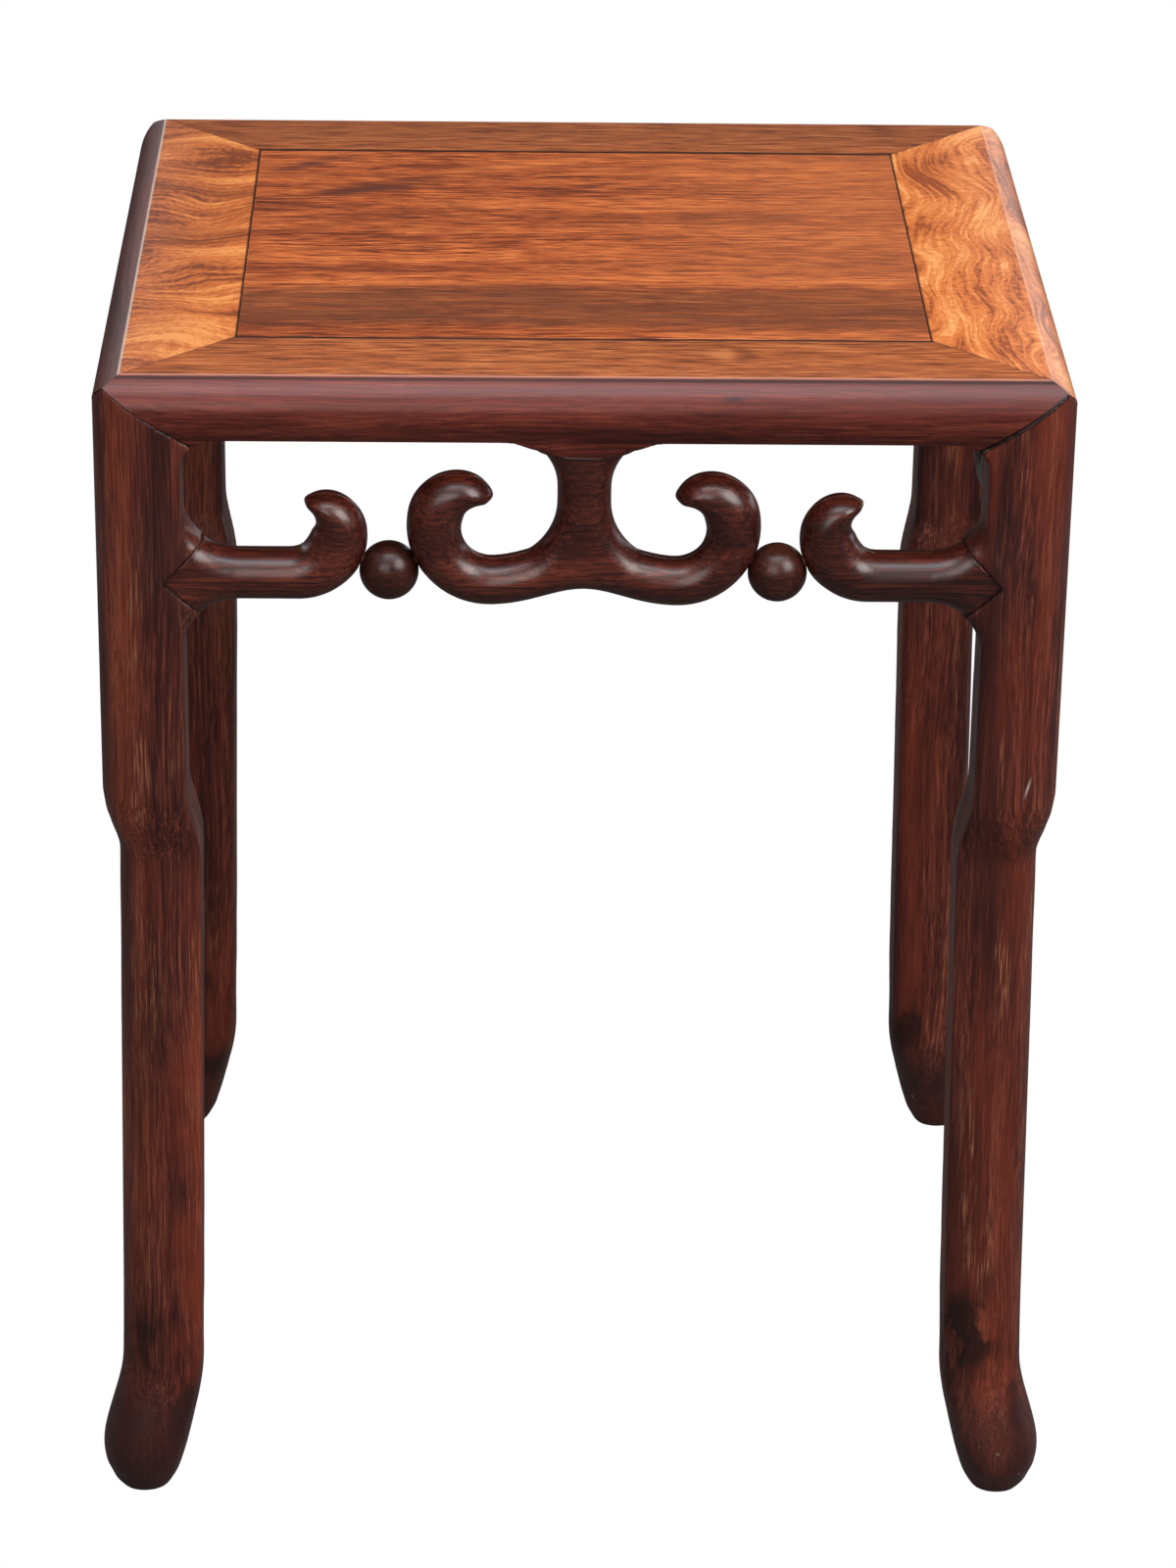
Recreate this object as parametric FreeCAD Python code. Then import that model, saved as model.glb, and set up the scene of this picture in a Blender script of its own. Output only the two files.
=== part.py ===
import FreeCAD, Part
import math
import os

# Hardwood stand with a mitred frame top, kneed legs and an openwork scroll apron on each side.
# Millimetres, Z up, origin at the middle of the footprint on the floor, front towards -Y.

# Overall size, taken over the proudest line of the top edge
TOP_LENGTH = 400.0
TOP_DEPTH = 360.0
HEIGHT = 522.0

# Top frame and its convex edge
RAIL_HEIGHT = 25.5
FRAME_WIDTH = 57.0
EDGE_SETBACK = 12.0
EDGE_PROUD_DROP = 14.5
EDGE_LOWER_SETBACK = 3.5
EDGE_UPPER_SWEEP = math.radians(62)
EDGE_LOWER_SWEEP = math.radians(45)
CORNER_WEB_RADIUS = 14.0

# Panel, its tongue and the batten under it
PANEL_THICKNESS = 10.0
PANEL_SEAM = 0.3
TONGUE_DROP = 4.0
TONGUE_THICKNESS = 4.0
TONGUE_LENGTH = 6.0
BATTEN_WIDTH = 28.0
BATTEN_HEIGHT = 14.0
BATTEN_BITE = 3.0
BATTEN_NECK = 21.0
BATTEN_FLARE = 2.5

# Legs
LEG_WIDTH = 36.0
SHAFT_WIDTH = 35.0
KNEE_HEIGHT = 322.0
KNEE_LENGTH = 34.0
KNEE_SHIFT = 6.2
SHAFT_SPLAY = 4.5
ANKLE_HEIGHT = 62.0
FOOT_KICK = 8.8
FOOT_KICK_END = 12.0
BELLY_HEIGHT = 28.0
BELLY_WIDTH = 36.8
PAD_WIDTH = 20.0
INNER_ROUND = 6.0
ROUNDING_HEIGHT = 95.0
FOOT_ROUNDNESS = 0.85
ROUND_SHARE = 0.52

# Scroll apron
APRON_THICKNESS = 24.0
BAR_LEVEL = 62.0
ARM_HALF = 11.0
ARM_BURY = 4.0
ARM_SHY = 0.15
JOINT_WEB_RADIUS = 21.0
JOINT_ROUND = 8.0
ROUND_LIMIT = 0.7
MOTIF_CLEAR = 1.0
SHOULDER_DEPTH = 7.5
SCROLL_X = 38.0
SCROLL_SAG = 2.8
SCROLL_RISE = 7.4
SCROLL_HALF = 10.2
SCROLL_SWELL = 11.4
SCROLL_OUTER_RADIUS = 23.5
SCROLL_CURL_RADIUS = 13.7
SCROLL_SWITCH = 102.0
SCROLL_TAPER_START = 110.0
SCROLL_TAPER_END = 230.0
SCROLL_TIP = 220.0
HOOK_X = 118.5
HOOK_SWELL = 12.2
HOOK_OUTER_RADIUS = 18.6
HOOK_CURL_RADIUS = 11.8
HOOK_SWITCH = 95.0
HOOK_TAPER_START = 50.0
HOOK_TAPER_END = 195.0
HOOK_TIP = 188.0
TAPER_POWER = 0.8
THINNING_POWER = 0.3
BAR_SQUARENESS = 2.5
RING_POLES = 16
CURL_RINGS = 24
LOBE_RINGS = 6
SEAM_TURN = 0.375
STEM_HALF = 11.0
STEM_WAIST = 29.5
STEM_FLARE = 23.0
STEM_ROUND = 7.0
WAIST_LEAST = 1.0
BOSS_DROP = 6.0
STEM_SHY = 0.3
STEM_BITE = 2.0
STEM_FOOT_TURN = 80.0
BEAD_RADIUS = 12.2
BEAD_BITE = 0.6
BEAD_TOUCH_ANGLE = 60.0
PIN_RADIUS = 2.5
PIN_IN_BEAD = 6.0
PIN_IN_BAR = 8.0

# Tenons and the play left round them
PLAY = 0.15
END_PLAY = 0.5
LEG_TENON_NEAR = 7.0
LEG_TENON_THICKNESS = 7.0
LEG_TENON_START = 17.5
LEG_TENON_LENGTH = 12.0
LEG_TENON_TOP = 8.0
FRAME_TENON_CLEAR = 1.0
FRAME_TENON_WIDTH = 19.0
FRAME_TENON_DROP = 11.0
FRAME_TENON_THICKNESS = 9.0
FRAME_TENON_REACH = 17.0
HOOK_TENON_THICKNESS = 8.0
HOOK_TENON_HEIGHT = 13.0
HOOK_TENON_STOP = 19.5
STEM_TENON_HALF = 9.0
STEM_TENON_THICKNESS = 10.0
STEM_TENON_LENGTH = 15.0
BATTEN_TENON_HALF = 9.0
BATTEN_TENON_THICKNESS = 8.0
BATTEN_TENON_LENGTH = 12.0

# Sizes that follow from the ones above
MITRE_SLOPE = RAIL_HEIGHT / LEG_WIDTH
FRAME_TENON_START = (FRAME_TENON_DROP + FRAME_TENON_THICKNESS) / MITRE_SLOPE + FRAME_TENON_CLEAR
APRON_MIDDLE = EDGE_LOWER_SETBACK + APRON_THICKNESS / 2
BAR_DROP = RAIL_HEIGHT + BAR_LEVEL
WEB_BURY = LEG_WIDTH / 3
KNEE_TOP = KNEE_HEIGHT + KNEE_LENGTH / 2
KNEE_END = KNEE_HEIGHT - KNEE_LENGTH / 2
OVERCUT = 1.0
SLOPE_STEP = 0.5
SPLINE_STEPS = [i / 6 for i in range(7)]
BIG = 2 * max(TOP_LENGTH, TOP_DEPTH, HEIGHT)
Y_AXIS = FreeCAD.Vector(0, 1, 0)
Z_AXIS = FreeCAD.Vector(0, 0, 1)


# Small helpers: curves, prisms and boxes

def spline(points):
    curve = Part.BSplineCurve()
    curve.interpolate(Points=points, Parameters=SPLINE_STEPS)
    return curve.toShape()


def line(start, end):
    return Part.LineSegment(start, end).toShape()


def arc(centre, radius, start, end, place):
    """Circular arc in a side's own plane, angles in degrees, 0 to the right and 90 upward."""
    points = []
    for angle in (start, (start + end) / 2, end):
        turn = math.radians(angle)
        points.append(place(centre[0] + radius * math.cos(turn), centre[1] - radius * math.sin(turn)))
    return Part.Arc(*points).toShape()


def prism(edges, direction):
    wire = Part.Wire(Part.__sortEdges__(edges))
    return Part.Face(wire).extrude(direction)


def polygon_prism(points, direction):
    return Part.Face(Part.makePolygon(points + points[:1])).extrude(direction)


def block(x_range, y_range, z_range):
    low = FreeCAD.Vector(min(x_range), min(y_range), min(z_range))
    high = FreeCAD.Vector(max(x_range), max(y_range), max(z_range))
    return Part.makeBox(high.x - low.x, high.y - low.y, high.z - low.z, low)


def joined(first, *others):
    return first.fuse(list(others)).removeSplitter()


def turned(shape, angle):
    copy = shape.copy()
    copy.rotate(FreeCAD.Vector(0, 0, 0), Z_AXIS, angle)
    return copy


def side_point(face):
    """Point on a side seen from outside: x along it, inset from its proudest plane, drop below the top."""
    def place(x, inset, drop):
        return FreeCAD.Vector(x, inset - face, HEIGHT - drop)
    return place


# Edge moulding, shared by the rails and, stretched by the mitre slope, by the legs

def upper_edge(part):
    """Inset and drop on the long upper curve, from the proudest line (0) to the top face (1)."""
    turn = part * EDGE_UPPER_SWEEP
    inset = EDGE_SETBACK * (1 - math.cos(turn)) / (1 - math.cos(EDGE_UPPER_SWEEP))
    drop = EDGE_PROUD_DROP * (1 - math.sin(turn) / math.sin(EDGE_UPPER_SWEEP))
    return inset, drop


def lower_edge(part):
    """Inset and drop on the short lower curve, from the proudest line (0) to the underside (1)."""
    turn = part * EDGE_LOWER_SWEEP
    inset = EDGE_LOWER_SETBACK * (1 - math.cos(turn)) / (1 - math.cos(EDGE_LOWER_SWEEP))
    rest = RAIL_HEIGHT - EDGE_PROUD_DROP
    return inset, EDGE_PROUD_DROP + rest * math.sin(turn) / math.sin(EDGE_LOWER_SWEEP)


def eased(value):
    """Smooth step from 0 to 1."""
    value = min(max(value, 0.0), 1.0)
    return (1 - math.cos(math.pi * value)) / 2


# Top frame

def mitre_wedge(half_length, sign):
    """Space above the sloping mitre at one end of a side, right through the frame."""
    reach = FRAME_WIDTH + CORNER_WEB_RADIUS
    low = reach * MITRE_SLOPE
    points = []
    for inward, drop in ((-reach, -low), (reach, low), (BIG, low), (BIG, -BIG), (-reach, -BIG)):
        points.append(FreeCAD.Vector(sign * (half_length - inward), -BIG, HEIGHT - drop))
    return polygon_prism(points, FreeCAD.Vector(0, 2 * BIG, 0))


def corner_web(half_length, face, sign):
    """Rounded web in the upper corner of the opening, shared by rail and leg along the mitre."""
    place = side_point(face)
    leg_inside = half_length - LEG_WIDTH
    low = RAIL_HEIGHT + CORNER_WEB_RADIUS
    high = RAIL_HEIGHT - WEB_BURY
    buried = leg_inside + WEB_BURY
    def spot(x, drop):
        return place(sign * x, EDGE_LOWER_SETBACK, drop)
    centre = (leg_inside - CORNER_WEB_RADIUS, low)
    edges = [
        arc(centre, CORNER_WEB_RADIUS, 90, 0, spot),
        line(spot(leg_inside, low), spot(buried, low)),
        line(spot(buried, low), spot(buried, high)),
        line(spot(buried, high), spot(centre[0], high)),
        line(spot(centre[0], high), spot(centre[0], RAIL_HEIGHT)),
    ]
    return prism(edges, FreeCAD.Vector(0, APRON_THICKNESS, 0))


def boss(face):
    """Swelling under the middle of a rail that receives the stem of the scroll."""
    place = side_point(face)
    def spot(x, drop):
        return place(x, EDGE_LOWER_SETBACK, drop)
    reach = STEM_HALF + STEM_FLARE
    level = RAIL_HEIGHT + STEM_FLARE
    seam = RAIL_HEIGHT + BOSS_DROP
    seam_x = stem_side(seam)
    edges = [
        arc((reach, level), STEM_FLARE, 90, 180 - seam_angle(), spot),
        line(spot(seam_x, seam), spot(-seam_x, seam)),
        arc((-reach, level), STEM_FLARE, seam_angle(), 90, spot),
        line(spot(-reach, RAIL_HEIGHT), spot(reach, RAIL_HEIGHT)),
    ]
    return prism(edges, FreeCAD.Vector(0, APRON_THICKNESS, 0))


def seam_angle():
    """Angle on the stem's flare at which the seam between boss and stem cuts it, in degrees."""
    return math.degrees(math.asin((STEM_FLARE - BOSS_DROP) / STEM_FLARE))


def stem_side(drop):
    """Half width of the stem on its flare into the boss."""
    above = RAIL_HEIGHT + STEM_FLARE - drop
    return STEM_HALF + STEM_FLARE - math.sqrt(STEM_FLARE ** 2 - above ** 2)


def leg_tenon(half_length, face, sign, grow):
    """Tenon of a leg that rises into the rail of this side, or its mortise when grown by the play."""
    near = half_length - LEG_TENON_START
    x_range = (sign * (near + grow), sign * (near - LEG_TENON_LENGTH - grow))
    y_range = (LEG_TENON_NEAR - grow - face, LEG_TENON_NEAR + LEG_TENON_THICKNESS + grow - face)
    top = LEG_TENON_TOP - (END_PLAY if grow else 0)
    return block(x_range, y_range, (HEIGHT - top, HEIGHT - RAIL_HEIGHT))


def frame_tenon(x_sign, y_sign, grow):
    """Tenon of a short rail in a long one, or its mortise when grown by the play."""
    half_length, half_depth = TOP_LENGTH / 2, TOP_DEPTH / 2
    outer = half_length - FRAME_TENON_START + grow
    inner = outer - FRAME_TENON_WIDTH - 2 * grow
    tip = half_depth - FRAME_TENON_REACH + (END_PLAY if grow else 0)
    root = half_depth - FRAME_TENON_START - FRAME_TENON_WIDTH
    top = FRAME_TENON_DROP - grow
    bottom = FRAME_TENON_DROP + FRAME_TENON_THICKNESS + grow
    return block((x_sign * outer, x_sign * inner), (y_sign * tip, y_sign * root),
                 (HEIGHT - top, HEIGHT - bottom))


def batten_tenon(y_sign, grow):
    root = TOP_DEPTH / 2 - FRAME_WIDTH
    tip = root + BATTEN_TENON_LENGTH + (END_PLAY if grow else 0)
    half = BATTEN_TENON_HALF + grow
    middle = PANEL_THICKNESS + BATTEN_HEIGHT / 2
    half_thickness = BATTEN_TENON_THICKNESS / 2 + grow
    return block((-half, half), (y_sign * root, y_sign * tip),
                 (HEIGHT - middle - half_thickness, HEIGHT - middle + half_thickness))


def stem_tenon(face, grow):
    half = STEM_TENON_HALF + grow
    half_thickness = STEM_TENON_THICKNESS / 2 + grow
    middle = APRON_MIDDLE - face
    seam = RAIL_HEIGHT + BOSS_DROP
    top = seam - STEM_TENON_LENGTH - (END_PLAY if grow else 0)
    return block((-half, half), (middle - half_thickness, middle + half_thickness),
                 (HEIGHT - seam, HEIGHT - top))


def rail(half_length, face):
    """Plain rail of the front side: moulded section, webs and boss, mitred at both ends."""
    place = side_point(face)
    upper = [place(-half_length, *upper_edge(step)) for step in SPLINE_STEPS]
    lower = [place(-half_length, *lower_edge(step)) for step in SPLINE_STEPS]
    inner_top = place(-half_length, FRAME_WIDTH, 0)
    inner_bottom = place(-half_length, FRAME_WIDTH, RAIL_HEIGHT)
    edges = [spline(upper), spline(lower), line(upper[-1], inner_top), line(inner_top, inner_bottom),
             line(inner_bottom, lower[-1])]
    bar = prism(edges, FreeCAD.Vector(2 * half_length, 0, 0))
    bar = joined(bar, boss(face), corner_web(half_length, face, -1), corner_web(half_length, face, 1))
    for sign in (-1, 1):
        bar = bar.common(mitre_wedge(half_length, sign))
        corner = place(sign * half_length, 0, 0)
        inside = FreeCAD.Vector(-sign * BIG, BIG, 0)
        beyond = [corner - inside, corner + inside, corner + inside + FreeCAD.Vector(sign * 2 * BIG, 0, 0)]
        beyond = [point - Z_AXIS * BIG for point in beyond]
        bar = bar.cut(polygon_prism(beyond, Z_AXIS * 2 * BIG))
        bar = bar.cut(leg_tenon(half_length, face, sign, PLAY))
    groove_half = half_length - FRAME_WIDTH + TONGUE_LENGTH + END_PLAY
    groove_floor = FRAME_WIDTH - TONGUE_LENGTH - END_PLAY
    groove = block((-groove_half, groove_half), (groove_floor - face, FRAME_WIDTH + OVERCUT - face),
                   (HEIGHT - TONGUE_DROP + PLAY, HEIGHT - TONGUE_DROP - TONGUE_THICKNESS - PLAY))
    return bar.cut(groove).cut(stem_tenon(face, PLAY))


def panel():
    half_x = TOP_LENGTH / 2 - FRAME_WIDTH - PANEL_SEAM
    half_y = TOP_DEPTH / 2 - FRAME_WIDTH - PANEL_SEAM
    board = block((-half_x, half_x), (-half_y, half_y), (HEIGHT, HEIGHT - PANEL_THICKNESS))
    wide_x = half_x + TONGUE_LENGTH
    wide_y = half_y + TONGUE_LENGTH
    tongue = block((-wide_x, wide_x), (-wide_y, wide_y),
                   (HEIGHT - TONGUE_DROP, HEIGHT - TONGUE_DROP - TONGUE_THICKNESS))
    return joined(board, tongue).cut(batten_body(PLAY))


def batten_body(grow):
    """Batten with a dovetailed upper edge, running front to back."""
    half_y = TOP_DEPTH / 2 - FRAME_WIDTH + (BIG if grow else 0)
    neck = BATTEN_NECK / 2 + grow
    flare = neck + BATTEN_FLARE
    body = BATTEN_WIDTH / 2
    under = PANEL_THICKNESS
    top = under - BATTEN_BITE - grow
    bottom = under + BATTEN_HEIGHT
    outline = [(-flare, top), (flare, top), (neck, under), (body, under), (body, bottom), (-body, bottom),
               (-body, under), (-neck, under)]
    points = [FreeCAD.Vector(x, -half_y, HEIGHT - drop) for x, drop in outline]
    return polygon_prism(points, FreeCAD.Vector(0, 2 * half_y, 0))


# Legs, built for the front left corner

def leg_outline():
    """Edges of the leg section as point rows, measured inward from the two proudest planes.

    The two outer faces meet on the diagonal, at the part of the edge curve found by halving.
    """
    low, high = 0.0, 1.0
    for _ in range(60):
        middle = (low + high) / 2
        inset, drop = upper_edge(middle)
        if inset < drop / MITRE_SLOPE:
            low = middle
        else:
            high = middle
    hip = high
    steps = SPLINE_STEPS
    front_upper = [upper_edge(hip * (1 - step)) for step in steps]
    front_lower = [lower_edge(step) for step in steps]
    front = [[(drop / MITRE_SLOPE, inset) for inset, drop in row] for row in (front_upper, front_lower)]
    side = [[(y, x) for x, y in reversed(row)] for row in reversed(front)]
    arris = front[1][-1]
    straight = LEG_WIDTH - INNER_ROUND - arris[1]
    inner = [(LEG_WIDTH, arris[1] + straight * step) for step in steps]
    centre = LEG_WIDTH - INNER_ROUND
    turns = [step * math.pi / 4 for step in steps]
    corner = []
    for turn in turns:
        corner.append((centre + INNER_ROUND * math.cos(turn), centre + INNER_ROUND * math.sin(turn)))
    inside = [[(y, x) for x, y in reversed(row)] for row in (corner, inner)]
    return front + [inner, corner] + inside + side


def inward_shift(z):
    """How far the leg's middle line lies inside its place at the top, the same in both directions."""
    knee = KNEE_SHIFT * eased((KNEE_TOP - z) / KNEE_LENGTH)
    lean = min(max((KNEE_TOP - z) / (KNEE_TOP - ANKLE_HEIGHT), 0.0), 1.0)
    kick = eased((ANKLE_HEIGHT - z) / (ANKLE_HEIGHT - FOOT_KICK_END))
    return knee - SHAFT_SPLAY * lean - FOOT_KICK * kick


def leg_size(z):
    """Width of the leg's section: slimmer below the knee, swelling into the foot and drawn in to the pad."""
    if z >= ANKLE_HEIGHT:
        taper = eased((KNEE_TOP - z) / KNEE_LENGTH)
        return LEG_WIDTH + (SHAFT_WIDTH - LEG_WIDTH) * taper
    if z >= BELLY_HEIGHT:
        swell = eased((ANKLE_HEIGHT - z) / (ANKLE_HEIGHT - BELLY_HEIGHT))
        return SHAFT_WIDTH + (BELLY_WIDTH - SHAFT_WIDTH) * swell
    reach = BELLY_HEIGHT / math.sqrt(1 - (PAD_WIDTH / BELLY_WIDTH) ** 2)
    return BELLY_WIDTH * math.sqrt(1 - ((BELLY_HEIGHT - z) / reach) ** 2)


def leg_ring(z):
    """Section wire at one height, square to the leg's middle line in the knee and level in the foot."""
    size = leg_size(z)
    scale = size / LEG_WIDTH
    middle = LEG_WIDTH / 2
    shift = inward_shift(z)
    slope = (inward_shift(z - SLOPE_STEP) - inward_shift(z + SLOPE_STEP)) / (2 * SLOPE_STEP)
    tilt = math.atan(math.sqrt(2) * slope) if ANKLE_HEIGHT < z < KNEE_TOP else 0.0
    soft = FOOT_ROUNDNESS * eased((ROUNDING_HEIGHT - z) / (ROUNDING_HEIGHT - BELLY_HEIGHT))
    edges = []
    for row in leg_outline():
        points = []
        for x, y in row:
            px, py = (x - middle) * scale, (y - middle) * scale
            length = math.hypot(px, py)
            rounder = (1 - soft) + soft * ROUND_SHARE * size / length
            px, py = px * rounder, py * rounder
            diagonal, cross = (px + py) / 2, (px - py) / 2
            dx = middle + shift + diagonal * math.cos(tilt) + cross
            dy = middle + shift + diagonal * math.cos(tilt) - cross
            rise = diagonal * math.sqrt(2) * math.sin(tilt)
            points.append(FreeCAD.Vector(dx - TOP_LENGTH / 2, dy - TOP_DEPTH / 2, z + rise))
        edges.append(spline(points))
    return Part.Wire(edges)


def leg_heights():
    """Levels of the leg's sections from the top of the knee to the floor, closer where it bends."""
    knee = [KNEE_TOP - KNEE_LENGTH * i / 10 for i in range(11)]
    shaft = [KNEE_END + (ROUNDING_HEIGHT - KNEE_END) * part for part in (0.04, 0.12, 0.3, 0.5, 0.7, 0.88)]
    foot = [ROUNDING_HEIGHT + (BELLY_HEIGHT - ROUNDING_HEIGHT) * i / 12 for i in range(13)]
    toe = [BELLY_HEIGHT * (1 - part) for part in (0.25, 0.45, 0.63, 0.78, 0.9, 1.0)]
    return knee + shaft + foot + toe


def leg_blank():
    """Leg before its joints are cut: straight upper part, left long, and swept knee, shaft and foot."""
    heights = leg_heights()
    lower = Part.makeLoft([leg_ring(z) for z in heights], True, False)
    top_ring = leg_ring(heights[0])
    upper = Part.Face(top_ring).extrude(Z_AXIS * (HEIGHT + RAIL_HEIGHT - heights[0]))
    return upper.fuse(lower)


def joint_web(half_length, face, sign, motif):
    """Block where an arm meets the leg, with a rounded web above and below, shared by hook and leg."""
    place = side_point(face)
    half = ARM_HALF * motif
    inside = half_length - LEG_WIDTH
    centre_x = inside - JOINT_WEB_RADIUS
    above = BAR_DROP - half - JOINT_WEB_RADIUS
    below = BAR_DROP + half + JOINT_WEB_RADIUS
    bury = inside + WEB_BURY
    def spot(x, drop):
        return place(sign * x, EDGE_LOWER_SETBACK, drop)
    edges = [
        arc((centre_x, above), JOINT_WEB_RADIUS, 270, 360, spot),
        line(spot(inside, above), spot(bury, above)),
        line(spot(bury, above), spot(bury, below)),
        line(spot(bury, below), spot(inside, below)),
        arc((centre_x, below), JOINT_WEB_RADIUS, 0, 90, spot),
        line(spot(centre_x, BAR_DROP + half), spot(centre_x, BAR_DROP - half)),
    ]
    web = prism(edges, FreeCAD.Vector(0, APRON_THICKNESS, 0))
    rounded = min(JOINT_ROUND, ROUND_LIMIT * half)
    long_edges = [edge for edge in web.Edges if isinstance(edge.Curve, Part.Circle)]
    return web.makeFillet(rounded, long_edges)


def shoulder_prism(half_length, face, sign):
    """Pointed space that the arm's shoulder fills: everything on the opening's side of the V."""
    tip = half_length - LEG_WIDTH + SHOULDER_DEPTH
    reach = LEG_WIDTH + 2 * JOINT_WEB_RADIUS
    outline = [(tip, BAR_DROP), (tip - reach, BAR_DROP - reach), (tip - reach, BAR_DROP + reach)]
    points = [FreeCAD.Vector(sign * x, -face - OVERCUT, HEIGHT - drop) for x, drop in outline]
    depth = OVERCUT + EDGE_LOWER_SETBACK + APRON_THICKNESS
    return polygon_prism(points, FreeCAD.Vector(0, depth, 0))


def hook_tenon(half_length, face, sign, grow):
    tip = half_length - HOOK_TENON_STOP + (END_PLAY if grow else 0)
    root = half_length - LEG_WIDTH - OVERCUT
    half_thickness = HOOK_TENON_THICKNESS / 2 + grow
    half_height = HOOK_TENON_HEIGHT / 2 + grow
    middle = APRON_MIDDLE - face
    level = HEIGHT - BAR_DROP
    return block((sign * root, sign * tip), (middle - half_thickness, middle + half_thickness),
                 (level - half_height, level + half_height))


def motif_scale(half_length):
    """Full size where the clear span allows it, smaller on a shorter side."""
    room = half_length - LEG_WIDTH - JOINT_WEB_RADIUS - MOTIF_CLEAR
    return min(1.0, room / HOOK_X)


def front_left_leg():
    """Finished leg and the pointed tongues that its webs leave on the front and side hooks."""
    half_x, half_y = TOP_LENGTH / 2, TOP_DEPTH / 2
    front_web = joint_web(half_x, half_y, -1, motif_scale(half_x))
    side_web = turned(joint_web(half_y, half_x, 1, motif_scale(half_y)), -90)
    front_corner = corner_web(half_x, half_y, -1)
    side_corner = turned(corner_web(half_y, half_x, 1), -90)
    wedges = [mitre_wedge(half_x, -1), turned(mitre_wedge(half_y, 1), -90)]
    corners = [corner.cut(wedges) for corner in (front_corner, side_corner)]
    blank = leg_blank().cut(wedges)
    front_notch = shoulder_prism(half_x, half_y, -1)
    side_notch = turned(shoulder_prism(half_y, half_x, 1), -90)
    front_tongue = joined(blank.common(front_notch), front_web.common(front_notch))
    side_tongue = joined(blank.common(side_notch), side_web.common(side_notch))
    webs = [front_web.cut(front_notch), side_web.cut(side_notch)]
    leg = blank.cut([front_notch, side_notch]).fuse(webs + corners)
    leg = leg.cut([hook_tenon(half_x, half_y, -1, PLAY), turned(hook_tenon(half_y, half_x, 1, PLAY), -90)])
    tenons = [leg_tenon(half_x, half_y, -1, 0), turned(leg_tenon(half_y, half_x, 1, 0), -90)]
    return joined(leg, *tenons), front_tongue, turned(side_tongue, 90)


# Scroll apron

def bar_ring(centre, outward, half_width, half_thickness):
    """Ring of poles round a carved bar, square to its middle line, for a rounded section."""
    pull = 2 / 3 + math.cos(2 * math.pi / RING_POLES) / 3
    points = []
    for i in range(RING_POLES):
        turn = 2 * math.pi * (i / RING_POLES + SEAM_TURN)
        across = math.copysign(abs(math.cos(turn)) ** (2 / BAR_SQUARENESS), math.cos(turn))
        through = math.copysign(abs(math.sin(turn)) ** (2 / BAR_SQUARENESS), math.sin(turn))
        offset = outward * (across * half_width / pull) + Y_AXIS * (through * half_thickness / pull)
        points.append(centre + offset)
    return points


def bar_solid(rings):
    """Smooth closed bar over rings of poles, capped flat at both ends."""
    around, along = len(rings[0]), len(rings)
    poles = [[ring[i] for ring in rings] for i in range(around)]
    round_knots = [i / around for i in range(around + 1)]
    long_knots = [i / (along - 3) for i in range(along - 2)]
    skin = Part.BSplineSurface()
    skin.buildFromPolesMultsKnots(poles, [1] * (around + 1), [4] + [1] * (along - 4) + [4],
                                  round_knots, long_knots, True, False, 3, 3)
    caps = [Part.Face(Part.Wire([skin.vIso(end).toShape()])) for end in (0.0, 1.0)]
    shell = Part.Shell([skin.toShape()] + caps)
    shell.sewShape()
    solid = Part.Solid(shell)
    if solid.Volume < 0:
        solid.reverse()
    return solid


def curl_rings(start_x, start_drop, hand, motif, face, first_half, swell, radii, turns):
    """Sections of a curl that leaves the bar level, turns up on a large arc and closes on a small one."""
    outer, inner = radii[0] * motif, radii[1] * motif
    switch, taper_start, taper_end, tip = [math.radians(turn) for turn in turns]
    place = side_point(face)
    rings = []
    for i in range(1, CURL_RINGS + 1):
        turn = tip * i / CURL_RINGS
        x = outer * math.sin(turn)
        rise = outer * (1 - math.cos(turn))
        if turn > switch:
            x = (outer - inner) * math.sin(switch) + inner * math.sin(turn)
            rise = outer - (outer - inner) * math.cos(switch) - inner * math.cos(turn)
        half = first_half + (swell - first_half) * min(turn / taper_start, 1.0)
        thin = 1.0
        if turn > taper_start:
            along = (turn - taper_start) / (taper_end - taper_start)
            thin = (1 - along ** 2) ** TAPER_POWER
        centre = place(start_x + hand * x, APRON_MIDDLE, start_drop - rise)
        outward = FreeCAD.Vector(hand * math.sin(turn), 0, -math.cos(turn))
        thickness = APRON_THICKNESS / 2 * thin ** THINNING_POWER
        rings.append(bar_ring(centre, outward, half * thin * motif, thickness))
    return rings


def scroll_drop(x, motif):
    """Level of the scroll's middle line between its two lowest points."""
    part = eased(abs(x) / (SCROLL_X * motif))
    return BAR_DROP + (SCROLL_SAG - SCROLL_RISE * (1 - part)) * motif


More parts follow.
